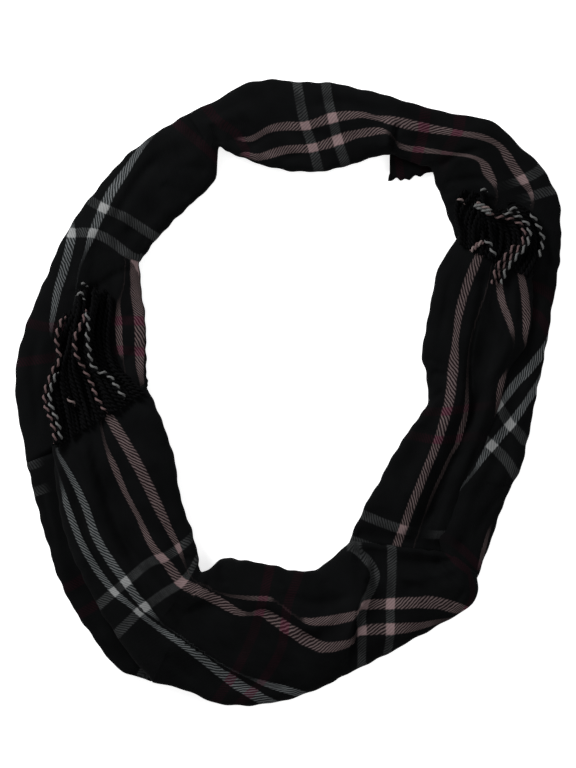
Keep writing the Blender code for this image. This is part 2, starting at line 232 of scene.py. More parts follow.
RIGHT_END = [
    Row((122, -122), (47, -113), 17),
    Row((123, -113), (51, -103), 17),
    Row((128, -99), (59, -86), 18),
    Row((135, -76), (70, -67), 19),
    Row((144, -55), (81, -46), 20),
    Row((154, -30), (95, -25), 21.5),
    Row((163, -4), (106, -8), 22.5),
    Row((169, 18), (105, 12), 23),
    Row((182, 38), (102, 32), 23.5),
    Row((186, 66), (108, 64), 23.5),
    Row((186, 78), (114, 93), 22.5),
    Row((186, 88), (128, 117), 20.5, "outer"),
]
TOP = [
    Row((176, 188), (109, 170), 16),
    Row((156, 206), (99, 173), 17),
    Row((132, 211), (89, 177), 17),
    Row((108, 216), (78, 181), 18, "inner"),
    Row((85, 223), (67, 179), 19),
    Row((59, 230), (47, 173), 19),
    Row((32, 235.5), (26, 168), 19),
    Row((9, 236), (4, 168), 19),
    Row((-12, 238), (-17, 172), 18.5),
    Row((-32, 235), (-34, 178), 18),
    Row((-52, 224), (-46, 183), 17),
    Row((-74, 213), (-53, 185), 16),
]
FLAP = [
    Row((80, 185), (80, 161.5), 5.5),
    Row((83.5, 184), (83, 163.5), 5.5),
    Row((87, 182.5), (86, 161.5), 5.5),
    Row((90.5, 181.5), (89.5, 163.2), 5.5),
    Row((94, 180.5), (93, 161.8), 5.5),
    Row((97.5, 179), (97, 164.8), 5),
    Row((101, 177.5), (101, 164.2), 5),
    Row((105, 176), (105, 167.5), 4.5),
    Row((109, 175), (109, 168), 4),
]
print(sum(map(len, (LEFT_OUTER, LOWER_RIM, LEFT_END, BOTTOM, RIGHT_OUTER, RIGHT_END, TOP))), "rows")

# %% [markdown]
# ## Long folds and short creases
# Long folds run with the band, where its layers lie doubled. A fold goes from one row to
# another, at a share of the way across, and is a soft trough (less than nothing) or ridge.
# Creases are strokes drawn on the plan, for what the folds can't follow: tucks where one
# part of the cloth laps over the next, and the small puckers on the inside of each turn.

# %% Long folds
Fold = namedtuple("Fold", "first last at_first at_last spread depth lean", defaults=(0.0,))


def moved_on(folds, rows):
    """The same folds, counted from the start of a longer table."""
    return [fold._replace(first=fold.first + rows, last=fold.last + rows) for fold in folds]


def turned_round(folds, rows):
    """The same folds, counted from the table's other end."""
    last = len(rows) - 1
    return [fold._replace(first=last - fold.last, last=last - fold.first,
                          at_first=fold.at_last, at_last=fold.at_first) for fold in folds]


LEFT_OUTER_FOLDS = [
    Fold(0, 4, 0.45, 0.30, 0.22, -1.6),
    Fold(2, 8, 0.20, 0.36, 0.16, 1.2),
    Fold(3, 7, 0.70, 0.62, 0.18, -1.4, 0.3),
    Fold(6.4, 12, 0.62, 0.66, 0.24, -4.0, -0.3),
    Fold(6.6, 11, 0.86, 0.84, 0.16, -2.2),
    Fold(8, 12, 0.30, 0.24, 0.12, -1.2),
]
LOWER_RIM_FOLDS = [
    Fold(1, 7, 0.55, 0.50, 0.35, -1.0),
]
LEFT_END_FOLDS = [
    Fold(0, 6.6, 0.44, 0.50, 0.20, -4.2, 0.45),
    Fold(0, 5, 0.16, 0.24, 0.12, -1.8, -0.2),
    Fold(1, 7, 0.30, 0.34, 0.14, 1.3),
    Fold(0, 7, 0.74, 0.70, 0.16, 1.6),
    Fold(3, 7, 0.88, 0.82, 0.12, -1.6, 0.2),
]
BOTTOM_FOLDS = [
    Fold(0, 3, 0.52, 0.56, 0.18, -2.4, 0.4),
    Fold(1, 5, 0.22, 0.16, 0.14, -1.6),
    Fold(2, 7, 0.74, 0.66, 0.16, -2.0, -0.3),
    Fold(3, 7.6, 0.44, 0.40, 0.13, -1.6, 0.3),
    Fold(5, 8, 0.28, 0.32, 0.14, 1.4),
    Fold(7.6, 12, 0.52, 0.56, 0.14, -1.4),
    Fold(8, 13, 0.80, 0.74, 0.16, -2.6, 0.2),
]
RIGHT_OUTER_FOLDS = [
    Fold(0, 4, 0.34, 0.30, 0.16, -1.8),
    Fold(0, 5, 0.62, 0.70, 0.18, -2.6, 0.2),
    Fold(10, 16, 0.40, 0.46, 0.22, -1.2),
    Fold(13, 18, 0.70, 0.64, 0.22, 1.0),
]
RIGHT_END_FOLDS = [
    Fold(0, 5, 0.30, 0.36, 0.18, -3.6, 0.2),
    Fold(4, 11, 0.34, 0.42, 0.22, -6.0, 0.1),
    Fold(5, 11, 0.14, 0.20, 0.14, 1.2),
    Fold(2, 9, 0.82, 0.78, 0.16, -1.5),
    Fold(0, 7, 0.62, 0.64, 0.14, 1.0),
]
TOP_FOLDS = [
    Fold(0, 3.4, 0.60, 0.58, 0.16, -2.0, 0.3),
    Fold(2, 8, 0.28, 0.22, 0.18, -1.2),
    Fold(4, 9, 0.68, 0.60, 0.15, -1.6, -0.2),
    Fold(6, 10, 0.84, 0.70, 0.14, -1.8, 0.3),
    Fold(8, 11, 0.36, 0.46, 0.18, 1.4),
]

print(len(TOP_FOLDS), "folds along the top")

# %% Creases
# A lap is how far the cloth on the stroke's left stands over the cloth on its right
Crease = namedtuple("Crease", "points depth spread lap", defaults=(0.0,))

LOWER_CREASES = [
    Crease([(44, -119), (66, -125), (88, -128), (108, -131), (124, -134)], -3.2, 9.0),
    Crease([(64, -118), (62, -136), (58, -155), (51, -172), (47, -190), (44, -210)], -2.6, 3.0, -5.5),
    Crease([(-152, -30), (-145, -56), (-137, -82), (-129, -104), (-118, -124), (-104, -146)],
           -4.6, 4.2),
    Crease([(-84, -128), (-79, -137), (-72, -146), (-60, -152), (-44, -158), (-30, -162)],
           -1.8, 3.0, -1.4),
    Crease([(-106, -166), (-92, -178), (-76, -189), (-58, -201), (-38, -212)], -1.4, 3.2, 1.4),
    Crease([(-30, -162), (-14, -166), (2, -175), (18, -184), (34, -186)], -1.5, 3.4, 0.9),
    Crease([(-10, -150), (4, -156), (20, -160), (38, -158), (52, -150)], -1.1, 4.0),
    Crease([(-166, -60), (-158, -88), (-150, -112), (-138, -138)], -0.9, 3.0),
    Crease([(-118, -28), (-112, -52), (-104, -74), (-98, -92)], -1.0, 4.0),
    Crease([(-96, -16), (-92, -36), (-88, -54)], -0.8, 3.2),
    Crease([(-66, -134), (-72, -128), (-80, -124)], -1.2, 2.2),
    Crease([(-62, -134), (-60, -142), (-62, -152)], -1.3, 2.4),
    Crease([(-52, -130), (-50, -138), (-46, -147)], -1.0, 2.6),
    Crease([(-64, -210), (-40, -222), (-12, -224), (14, -218)], -1.0, 4.2),
    Crease([(-96, -196), (-84, -208), (-70, -222)], -0.9, 3.2),
    Crease([(64, -128), (74, -138), (88, -146), (104, -150)], -1.0, 3.6),
    Crease([(62, -196), (80, -190), (100, -184)], -0.8, 3.2),
    Crease([(86, -122), (92, -132), (104, -140), (118, -146)], -0.9, 3.0),
    Crease([(110, -126), (120, -136), (132, -148)], -1.2, 2.6),
    Crease([(118, -166), (128, -158), (136, -148)], -0.8, 2.6),
    Crease([(-14, -134), (-10, -142), (-2, -148)], -0.9, 2.4),
    Crease([(20, -134), (24, -142), (32, -148)], -1.0, 2.6),
]
TURN_CREASES = [
    Crease([(77, 181), (78, 190), (80, 199), (84, 208)], -2.0, 2.8, 3.2),
    Crease([(-113, 98), (-122, 95), (-134, 90), (-146, 82), (-160, 78), (-174, 76)], -1.0, 5.0, -1.0),
    Crease([(-53, 184), (-60, 190), (-70, 194), (-82, 196)], -1.8, 3.2, 1.2),
    Crease([(-50, 186), (-54, 196), (-58, 206)], -1.2, 2.8),
    Crease([(-30, 180), (-26, 188), (-18, 194), (-6, 196)], -1.0, 3.0),
    Crease([(10, 214), (34, 220), (60, 216), (86, 208)], -0.9, 4.5),
    Crease([(-10, 170), (0, 178), (14, 180)], -0.8, 3.0),
    Crease([(112, 168), (122, 176), (136, 182), (150, 184)], -1.4, 3.2),
    Crease([(116, 156), (128, 160), (144, 162), (160, 158)], -1.3, 3.2),
    Crease([(120, 142), (132, 146), (146, 146)], -1.1, 2.8),
    Crease([(150, 196), (166, 184), (180, 168), (190, 150)], -1.2, 3.6),
    Crease([(196, 130), (198, 108), (196, 88), (194, 66)], -0.9, 3.0),
    Crease([(-60, 166), (-72, 170), (-88, 170)], -1.0, 3.2),
    Crease([(-74, 146), (-86, 154), (-98, 158)], -0.8, 3.4),
    Crease([(-92, 184), (-110, 166), (-124, 144), (-134, 122)], -1.0, 4.2),
    Crease([(-104, 112), (-114, 120), (-126, 124)], -0.9, 3.2),
    Crease([(-148, 90), (-146, 66), (-146, 40), (-144, 16)], -1.6, 4.2),
    Crease([(-132, 86), (-134, 64), (-132, 40), (-130, 20)], -1.0, 3.6),
    Crease([(-190, 48), (-194, 22), (-192, -8), (-188, -34)], -1.0, 3.6),
    Crease([(-110, 62), (-118, 60), (-126, 52)], -0.7, 2.6),
    Crease([(-109, 34), (-118, 30), (-126, 22)], -0.8, 2.6),
    Crease([(160, -20), (168, -44), (166, -66), (158, -88)], -0.9, 3.6),
    Crease([(140, -112), (150, -94), (164, -76)], -0.8, 3.2),
    Crease([(128, -110), (136, -120), (144, -128)], -0.9, 2.6),
]
END_CREASES = [
    Crease([(132, -120), (112, -118), (86, -114), (60, -110), (40, -106)], -3.2, 7.0),
    Crease([(142, 2), (140, -14), (132, -36), (119, -67), (108, -93), (98, -116)], -4.2, 5.0),
    Crease([(152, 100), (150, 82), (146, 62), (142, 42), (139, 20), (140, -4), (136, -28), (128, -46)],
           -2.2, 3.6, 1.2),
    Crease([(166, 88), (168, 68), (166, 48), (160, 30)], -1.3, 3.0),
    Crease([(176, 84), (176, 64), (178, 46)], -0.9, 2.6),
    Crease([(128, 100), (122, 78), (118, 56), (114, 34)], -1.0, 3.4),
    Crease([(106, 12), (114, 14), (122, 10)], -1.2, 2.6),
    Crease([(103, 26), (110, 24), (118, 18)], -1.0, 2.6),
    Crease([(106, -6), (114, -2), (120, 2)], -0.9, 2.4),
    Crease([(96, -26), (106, -30), (114, -38)], -0.8, 2.8),
    Crease([(116, -44), (110, -66), (104, -88), (100, -106)], -1.2, 3.6),
    Crease([(84, -60), (92, -78), (96, -98)], -0.8, 3.4),
    Crease([(56, -96), (66, -92), (76, -96)], -0.8, 2.8),
    Crease([(146, -40), (138, -62), (128, -86)], -1.0, 3.0),
]
RIM_CREASES = [
    Crease([(-190, -62), (-184, -92), (-176, -120)], -0.7, 2.4),
    Crease([(-168, -146), (-154, -168), (-138, -190)], -0.7, 2.4),
]
print(len(LOWER_CREASES + TURN_CREASES + END_CREASES + RIM_CREASES), "creases")

# %% [markdown]
# ## The check
# The cloth is black twill with paired stripes 95 mm apart both ways. Lengthwise pairs go
# pink, white, pink, and crosswise ones grey, maroon, grey. Folding bends and narrows them,
# so the tables say where each stripe runs on the plan. A lengthwise stripe is named by its
# place across the flat cloth, a crosswise one by its place along it. Walking from the left
# end through the ring to the right end, places across grow towards the outer rim. A None
# stands where a stripe is folded out of sight. A crosswise stripe's third number is how much
# of it shows, where that isn't all of it: some fade as the cloth turns away, and the fade also
# paints in the shade that falls in the creases there.

# %% Lengthwise stripes: places across the cloth, then (x, y, width that shows)
LOWER_LENGTHWISE = {
    45: [(-137.5, -16.5, 7.5), (-127.5, -32, 8.5), (-117, -49.5, 9), (-107, -68.5, 9),
         (-98, -87.5, 8.5), (-89.5, -105, 6), (-83, -118, 4.5), (-78.5, -129, 2), (-73, -140.5, 0),
         (-63, -148, 0), (-48, -153.5, 2), (-29, -156, 3.5), (-15, -156.5, 4), (-8, -159, 0.6),
         (0, -165, 0.3), (8, -171, 1), (15, -173.5, 5), (24.5, -173.5, 7), (36.5, -172, 8.5),
         (50, -168.5, 7), (53.5, -165, 2), (57, -161.5, 7),
         (77, -160.5, 8.5), (108, -159.5, 9), (123, -162.5, 8.5), (135.5, -165.5, 7),
         (141.5, -167, 5.5), (149, -160, 1), (152, -148, 1), (150, -134, 1)],
    65: [(-140, -17, 1), (-142, -25, 1.5), (-137, -44, 3), (-131.5, -57, 5.5), (-123, -77, 4.5),
         (-114, -93.5, 4.5), (-105, -112.5, 6), (-99, -121.5, 7), (-92.5, -128.5, 7.5),
         (-86, -137.5, 8.5), (-80, -144.5, 8.5), (-64.5, -152, 9), (-50, -159.5, 9),
         (-38, -166.5, 6), (-29, -168, 3), (-20, -167, 6), (-10, -172.5, 8.5), (1.5, -180, 9),
         (13, -187, 9), (24.5, -192.5, 8.5), (35.5, -192.5, 8.5), (48.5, -188.5, 6),
         (51, -185, 2), (54, -181, 7), (67, -179.5, 9), (78.5, -179.5, 9), (96.5, -178, 7),
         (108, -175.5, 4.5), (117, -173.5, 3), (127.5, -172, 2.5)],
    140: [(-173, -36, 2), (-175.5, -44, 2.5), (-168.5, -57, 4), (-160.5, -71.5, 5.5), (-153, -88, 7),
          (-146, -108, 7.5), (-135.5, -126, 7.5), (-123, -143, 7.5), (-115, -154.5, 7),
          (-108, -162.5, 7), (-102.5, -168, 4), (-93.5, -176.5, 1), (-82, -184.5, 0.5),
          (-67, -195.5, 0.5), (-48, -207.5, 0.5), (-29, -216.5, 1.5), (-17.5, -221, 4.5),
          (-2.5, -225, 6), (13, -229.5, 4.5), (26, -232, 2.5), (43.5, -226.5, 1.5)],
    160: [(-181, -38, 0.5), (-180, -45.5, 1), (-175.5, -58, 1), (-171, -73, 3), (-168, -84.5, 5.5),
          (-162, -101, 6), (-156.5, -114, 6), (-145, -134, 6), (-131.5, -151, 5.5),
          (-120, -160.5, 4.5), (-113, -166.5, 4.5), (-102.5, -175, 4), (-93.5, -181.5, 4.5),
          (-82, -189, 5.5), (-67, -200, 7.5), (-48, -214.5, 9), (-29, -227, 9),
          (-13.5, -235, 7), (1.5, -240, 4.5), (32, -238.5, 3)],
}
TURN_LENGTHWISE = {
    45: [(144.5, 100.5, 0.5), (152, 123, 0.5), (158, 144, 0.5), (158, 154, 1.5), (156, 160, 5.5),
         (152, 166.5, 8.5), (147.5, 175, 5.5), (137, 179.5, 4.5), (120, 181.5, 5.5),
         (100.5, 184, 7), (88, 186, 5), (82, 190, 1.5), (77, 196, 2), (70, 198, 6), (62.5, 197.5, 7.5),
         (53, 196, 7.5), (38, 191.5, 9), (19, 185.5, 7.5), (1.5, 184.5, 7), (-11.5, 181.5, 7.5),
         (-23, 178.5, 6), (-34, 181, 3), (-42, 176, 0), (-42, 170, 0),
         None, (-117, 99, 6.5), (-116.5, 86.5, 8), (-115, 70, 9),
         (-113, 54.5, 8.5), (-113, 35, 8.5), (-113, 20.5, 7), (-111.5, 9, 4),
         (-110, -4, 3)],
    65: [(146, 47, 0.5), (161, 70, 0.5), (172, 99, 0.5), (179.5, 121.5, 0.5), (185.5, 139, 1.5),
         (185, 150, 3.5), (178, 162, 8.5), (170, 173.5, 8.5), (161, 187, 6), (146, 194, 7),
         (126, 197, 8.5), (99.5, 201.5, 10), (79, 206, 8.5), (67, 208, 4.5), (54, 210.5, 6),
         (33.5, 208, 9), (13.5, 202, 7.5), (0, 202, 7.5), (-13.5, 200, 6), (-28, 192.5, 5),
         (-40, 192.5, 1.5), (-50, 190, 0), (-56, 188, 0),
         None, (-124, 101, 0), (-124, 92, 0), (-126, 77.5, 0), (-129, 68, 2.5),
         (-129, 54.5, 5.5), (-128.5, 39.5, 5.5), (-127.5, 30.5, 4), (-125.5, 21.5, 1),
         (-123, 1.5, 0.5), (-121, -14, 0.5)],
    140: [(85, -127.5, 2.5), (108, -82, 2.5), (132, -45.5, 3), (152, -21.5, 4),
          (162.5, -8.5, 5.5), (172.5, 5.5, 8.5), (184, 18, 9), (197, 35.5, 8.5),
          (206.5, 53, 6), (218, 70, 4.5),
          None, (-86, 216, 1.5), (-101, 197, 2), (-112.5, 184, 4.5), (-124, 167, 7), (-134, 152, 8.5),
          (-140, 140, 8.5), (-146, 127, 7), (-149, 119.5, 7), (-152, 111, 4), (-154.5, 104, 2.5),
          (-158, 94, 1.5),
          (-161, 77.5, 0.5), (-164, 47, 0.5), (-164, 9, 0.5), (-166, -20, 0.5), (-168, -42, 0.5)],
    160: [(100.5, -143, 2.5), (115.5, -105, 2.5), (129, -76, 2.5), (136, -67, 2.5),
          (142, -59.5, 3), (148, -50, 6), (155, -40.5, 8.5), (161, -33.5, 8.5),
          (168.5, -25, 8.5), (179.5, -10, 7), (190, 5.5, 7), (200, 23, 6), (211.5, 43.5, 4.5),
          None, (-160, 142, 0), (-163, 131, 1), (-164, 121.5, 6),
          (-166.5, 108, 7.5), (-170.5, 92.5, 8), (-175, 77.5, 7), (-177.5, 65, 5.5),
          (-179.5, 52, 3.5), (-180, 38, 1), (-178.5, 16.5, 0.5), (-175, -13.5, 0.5), (-178, -32, 0.5),
          (-180, -50, 0.5)],
    235: [(143, -139, 0.5), (146, -130, 3), (149.5, -117, 3.5), (153, -105, 2.5),
          (157, -97, 0.5), (170, -74.5, 0.5)],
}
END_LENGTHWISE = {
    235: [(80.5, -129, 7.5), (83.5, -115, 7.5), (86.5, -107, 7.5), (93.5, -87.5, 7.5),
          (104, -61.5, 7.5), (114, -36.5, 7.5), (121.5, -10.5, 8.5), (124.5, 9, 8.5),
          (126, 26, 7), (127.5, 43.5, 5.5), (130.5, 63, 7), (137, 84.5, 7.5), (146, 105.5, 7),
          (148, 112.5, 6)],
    255: [(92.5, -127.5, 1), (100.5, -105, 1), (110, -78.5, 2.5), (117, -63, 3),
          (123, -49.5, 3), (128.5, -40.5, 4), (132, -29, 5.5), (135.5, -15, 4.5),
          (136, 5.5, 2.5), (137, 24.5, 1.6), (139, 39.5, 1), (143.5, 56, 0.5), (150.5, 76, 0.5),
          (155, 96, 0), (158, 105, 0)],
    330: [(124.5, -129, 1), (129, -101, 1), (144.5, -63, 1), (156.5, -25, 1.5),
          (159.5, -7.5, 4), (160.5, 0, 5.5), (162.5, 9, 5.5), (166.5, 18, 1.5), (169.5, 28, 0.6),
          (171, 38, 1.5), (169.5, 47, 4), (166.5, 57, 5.5), (162.5, 68.5, 6), (160.5, 79, 6),
          (159, 88, 5.5), (159, 103, 5)],
    350: [(132, -129, 1), (138.5, -101, 1), (155, -63, 1), (168.5, -25, 1), (178, 13, 1),
          (181, 30.5, 1.5), (180, 42.5, 4.5), (181, 56, 7), (180, 70, 7), (178, 83, 7),
          (175.5, 94, 6)],
}
print(len(TURN_LENGTHWISE), "lengthwise stripes on the turn")

# %% Crosswise stripes: places along the cloth, then (x, y)
LOWER_CROSSWISE = {
    130: [(-144.5, -162.5), (-131.5, -151), (-122.5, -143.5), (-105, -129), (-92.5, -124.5),
          (-78.5, -115), (-72, -108.5)],
    150: [(-137, -190), (-129, -182.5), (-113, -166.5), (-108, -162.5), (-93.5, -152),
          (-80, -143.5), (-68.5, -127.5)],
    225: [(-55.5, -235.5), (-42.5, -216), (-32, -196), (-24.5, -177), (-20, -160.5),
          (-15, -139), (-13.5, -132)],
    245: [(-39, -238.5), (-20, -219), (-6, -196), (-2.5, -177), (0, -159.5), (7, -141.5),
          (9, -134.5)],
    320: [(56, -210), (56, -192.5), (56, -179.5), (55.5, -169.5), (58.5, -158), (63, -149),
          (66, -137.5), (59.5, -127), (48.5, -118)],
    340: [(75, -200), (77, -188.5), (77.5, -179.5), (77.5, -160.5), (78.5, -139), (79, -121.5)],
    415: [(135.5, -166.5), (139, -158), (140.5, -149), (137, -135.5), (132, -121.5)],
}
TURN_CROSSWISE = {
    435: [(144.5, -132), (134.5, -121.5), (123, -112.5, 0.3)],
    510: [(175.5, -66), (170, -58), (162.5, -48), (155, -41), (149, -36.5)],
    530: [(180, -37), (174, -29.5), (168.5, -24.5), (163.5, -16), (159.5, -9)],
    605: [(197.5, 47), (192.5, 55.5), (184, 61)],
    625: [(203.5, 70.5), (197, 76), (187, 81.5)],
    700: [(206.5, 155), (195.5, 152), (185.5, 149, 0.5), (172.5, 146, 0)],
    720: [(198.5, 176.5), (191.5, 168.5), (178, 161, 0.8), (167, 157.5, 0.2), (150, 152, 0)],
    795: [(132, 213), (129, 197.5), (121, 182.5, 0.5), (115.5, 159.5, 0)],
    815: [(105, 218), (103.5, 200.5), (99.5, 184), (93.5, 162.5)],
    890: [(28.5, 238.5), (30.5, 223.5), (34, 208), (38, 191.5), (44, 172)],
    910: [(6.5, 238.5), (9.5, 219.5), (13.5, 202), (19, 185.5), (24, 167)],
    985: [(-64.5, 220.5), (-53, 206), (-40.5, 197), (-32, 184)],
    1005: [(-88, 208), (-74.5, 196), (-63, 186), (-54.5, 178)],
    1080: [(-150.5, 146), (-140, 140), (-124, 133), (-108.5, 123), (-99, 117)],
    1100: [(-168.5, 123), (-164, 121.5), (-148, 121), (-135.5, 115.5), (-124, 106.5), (-114, 99)],
    1175: [(-197.5, 53), (-181, 49.5), (-154.5, 51.5), (-129, 54.5), (-108.5, 54.5)],
    1195: [(-203.5, 23), (-182.5, 26), (-154.5, 29), (-129, 32), (-108, 30.5)],
}
RIM_CROSSWISE = {
    1270: [(-200.5, -56), (-195, -55.5, 0.7), (-184.5, -51.5, 0)],
    1290: [(-197.5, -77.5), (-190, -75, 0.7), (-179.5, -71.5, 0)],
    1365: [(-173.5, -150.5), (-165, -147.5), (-155, -141.5)],
    1385: [(-159.5, -170), (-152, -165.5), (-143, -159.5)],
    1460: [(-112.5, -219), (-108, -210)],
}
END_CROSSWISE = {
    1670: [(123, -108.5, 0.5), (112, -108.5, 0.5), (102, -107.5, 0), (92, -105.5, 0.3),
           (85, -104), (68.5, -98), (52.5, -91)],
    1745: [(142, -33.5, 0.3), (132, -35, 0.7), (115.5, -36.5), (99, -34, 0.6), (87.5, -31, 0.4)],
    1765: [(157.5, -10, 0.2), (138.5, -12, 0.7), (122.5, -14.5), (108, -15, 0.7), (94, -14.5, 0.3)],
}
print(len(TURN_CROSSWISE), "crosswise stripes on the turn")

# %% [markdown]
# ## From rows to a band of cloth
# A band is a long tube of thin cloth, flat below and softly domed above, whose rims show the
# ends of its folded layers as rounded noses with deep grooves between them. Its mesh starts
# as a flat grid: one direction is wrapped round the section and the other runs along the
# band. A grid keeps the faces even, and its rows and columns give the cloth its UV map. The
# first step is to draw the rims, smooth through the rows but sharp at a corner.

# %% Steps, distances and directions
def smooth_step(value):
    """Eases from 0 to 1."""
    share = np.clip(value, 0.0, 1.0)
    return share * share * (3 - 2 * share)


def distance_along(line):
    """How far along a line each of its points lies."""
    steps = np.linalg.norm(np.diff(line, axis=0), axis=1)
    return np.concatenate([[0.0], np.cumsum(steps)])


def unit(vectors):
    """The same directions at a length of 1."""
    return vectors / np.linalg.norm(vectors, axis=-1, keepdims=True)


print("a quarter of the way in, a step is at", round(float(smooth_step(0.25)), 3))

# %% Smooth lines through a table
def smooth_through(points, positions, corners=()):
    """A smooth curve through the points, one unit of position from each to the next."""
    points = np.asarray(points, float)
    slopes = np.gradient(points, axis=0)
    slopes[list(corners)] = 0.0
    start = np.clip(positions.astype(int), 0, len(points) - 2)
    share = (positions - start)[:, None]
    share_2, share_3 = share ** 2, share ** 3
    return (points[start] * (2 * share_3 - 3 * share_2 + 1)
            + slopes[start] * (share_3 - 2 * share_2 + share)
            + points[start + 1] * (3 * share_2 - 2 * share_3)
            + slopes[start + 1] * (share_3 - share_2))


def dense_line(points, per_gap=10):
    """The smooth curve as a list of close points."""
    count = (len(points) - 1) * per_gap + 1
    return smooth_through(points, np.linspace(0, len(points) - 1, count))


def rim_line(rows, rim, places):
    points = [getattr(row, rim) for row in rows]
    corners = [index for index, row in enumerate(rows) if row.corner == rim]
    return smooth_through(points, places, corners)


def crown_line(rows, places):
    """The crown's height at each place, eased from row to row."""
    start = np.clip(places.astype(int), 0, len(rows) - 2)
    eased = smooth_step(places - start)
    crowns = np.array([row.crown for row in rows], float)
    return crowns[start] * (1 - eased) + crowns[start + 1] * eased


INNER_COUNTS = 0.8             # an inner rim's length counts less when sections are spaced


def section_places(rows, spacing):
    """Places along the table for the sections, evenly spaced between each row and the next."""
    places = [0.0]
    for index, (one, two) in enumerate(zip(rows, rows[1:])):
        outer_step = (Vector(two.outer) - Vector(one.outer)).length
        inner_step = (Vector(two.inner) - Vector(one.inner)).length
        steps = max(2, round(max(outer_step, INNER_COUNTS * inner_step) / spacing))
        places += [index + (step + 1) / steps for step in range(steps)]
    return np.array(places)


print(len(section_places(TOP, 2.4)), "sections along the top")

# %% [markdown]
# ## One section
# A section is drawn once round: half the underside, up the outer rim, over the top, down the
# inner rim and back. The rims are stacks of rounded noses, one for each folded layer, and
# each layer strays a little from the one above it, as real folds never lie quite flush.

# %% The sides of one section
RIM_SHARE = 0.76               # share of the crown that the stack of layers takes up
NOSE_TURN = 1.35               # how far round a nose goes each way, in radians
NOSE_STEPS = 7                 # points round one folded layer's nose
NOSE_HALF = 0.46               # half a nose's height, as a share of its layer's
NOSE_DEPTH = 3.2               # how far a nose stands out from its groove's mouth
GROOVE = 4.5                   # how deep a groove goes in past its mouth
GROOVE_GAP = 0.4               # half the gap between two layers
LAYER_STRAY = 2.2              # how far a lower layer may lie back from the top one
NOSE_LIMIT, GROOVE_LIMIT, STRAY_LIMIT = 0.09, 0.10, 0.06   # the same, as shares of the width
INNER_TURN = 2.1               # the inner rim's layers stray at other places


def side_line(crown, layers, place, turn, width):
    """Up one rim, from the floor to the widest place of the top layer: inward and up."""
    nose = crown * RIM_SHARE / layers
    depth = min(NOSE_DEPTH, NOSE_LIMIT * width, 0.6 * nose)
    groove = min(GROOVE, GROOVE_LIMIT * width)
    stray = min(LAYER_STRAY, STRAY_LIMIT * width)
    angles = np.linspace(-NOSE_TURN, NOSE_TURN, NOSE_STEPS)
    backs = []
    for layer in range(layers - 1):
        slow = math.sin(turn + 1.9 * layer + 0.9 * place)
        quick = math.sin(2.3 * turn + 4.1 * layer + 2.7 * place)
        backs.append(stray * (0.5 + 0.35 * slow + 0.15 * quick))
    backs.append(0.0)
    inward, up = [], []
    for layer, back in enumerate(backs):
        top_layer = layer == layers - 1
        reach = angles[:NOSE_STEPS // 2 + 1] if top_layer else angles
        inward += list(back + depth * (1 - np.cos(reach)))
        up += list((layer + 0.5 + NOSE_HALF * np.sin(reach)) * nose)
        if not top_layer:
            mouth = max(back, backs[layer + 1]) + depth
            inward += [mouth + 0.6 * groove, mouth + groove, mouth + 0.6 * groove]
            up += [(layer + 1) * nose + gap for gap in (-GROOVE_GAP, 0.0, GROOVE_GAP)]
    return np.array(inward), np.array(up)


print("a nose of the single turn is", round(TOP[0].crown * RIM_SHARE / 2, 1), "mm high")

# %% The top and the underside of one section
TOP_STEPS = 62                 # points across the top
UNDER_STEPS = 8                # points across each half of the underside
DOME_POWER = 2.8
DOME_FULLNESS = 0.42
LOWEST_TOP = 0.45              # no fold goes deeper than this share of the crown


EVEN_SHARE = 0.65              # how evenly the top's points are spread


def top_shares():
    """Shares of the way across the top, closer together towards the rims."""
    turned = np.linspace(0.0, math.pi, TOP_STEPS + 2)[1:-1]
    return (1 - EVEN_SHARE) * (0.5 - 0.5 * np.cos(turned)) + EVEN_SHARE * turned / math.pi


def dome_height(crown, layers, share):
    dome = (1 - np.abs(2 * share - 1) ** DOME_POWER) ** DOME_FULLNESS
    widest = crown * RIM_SHARE * (layers - 0.5) / layers
    return widest + (crown - widest) * dome


print(len(top_shares()), "points across the top")

# %% [markdown]
# ## Relief on the top
# Sculpting by hand would give the creases too, but strokes in a table can be moved by a
# millimetre. A fold is a soft wave across the section. A crease falls off with the distance
# from its stroke, and fades at both ends. A few long ripples keep the rest from being flat.

# %% Height of the folds
FOLD_FADE = 3.5                # a fold reaches its depth in 1/3.5 of its length


def fold_height(folds, place, share):
    """What the folds add across one section."""
    total = np.zeros_like(share)
    for fold in folds:
        along = (place - fold.first) / (fold.last - fold.first)
        if 0 < along < 1:
            fade = min(1.0, FOLD_FADE * min(along, 1 - along))
            middle = fold.at_first + (fold.at_last - fold.at_first) * along
            offset = (share - middle) / fold.spread
            side = np.where(offset < fold.lean, 1 + fold.lean, 1 - fold.lean)
            reach = np.minimum(np.abs(offset - fold.lean) / side, 1.0)
            total += fold.depth * fade * np.cos(reach * math.pi / 2) ** 2
    return total


print("folds fade over", round(1 / FOLD_FADE, 2), "of their length")

# %% Height of the creases
CREASE_FADE = 4.0              # a crease reaches its depth in a quarter of its length
CREASE_DEPTH = 1.5             # strokes are this much deeper than drawn
STROKE_REACH = 5               # spreads from a stroke past which it adds nothing
LAP_EDGE = 0.7                 # mm over which a lap steps up
LAP_HIGH, LAP_LOW = 2.6, 1.4   # spreads over which a lap's high and low sides fade
LAP_TROUGH = 0.35              # how far the low side sinks for each mm of lap
LAP_STROKE = 0.4               # share of its own stroke that a lap keeps


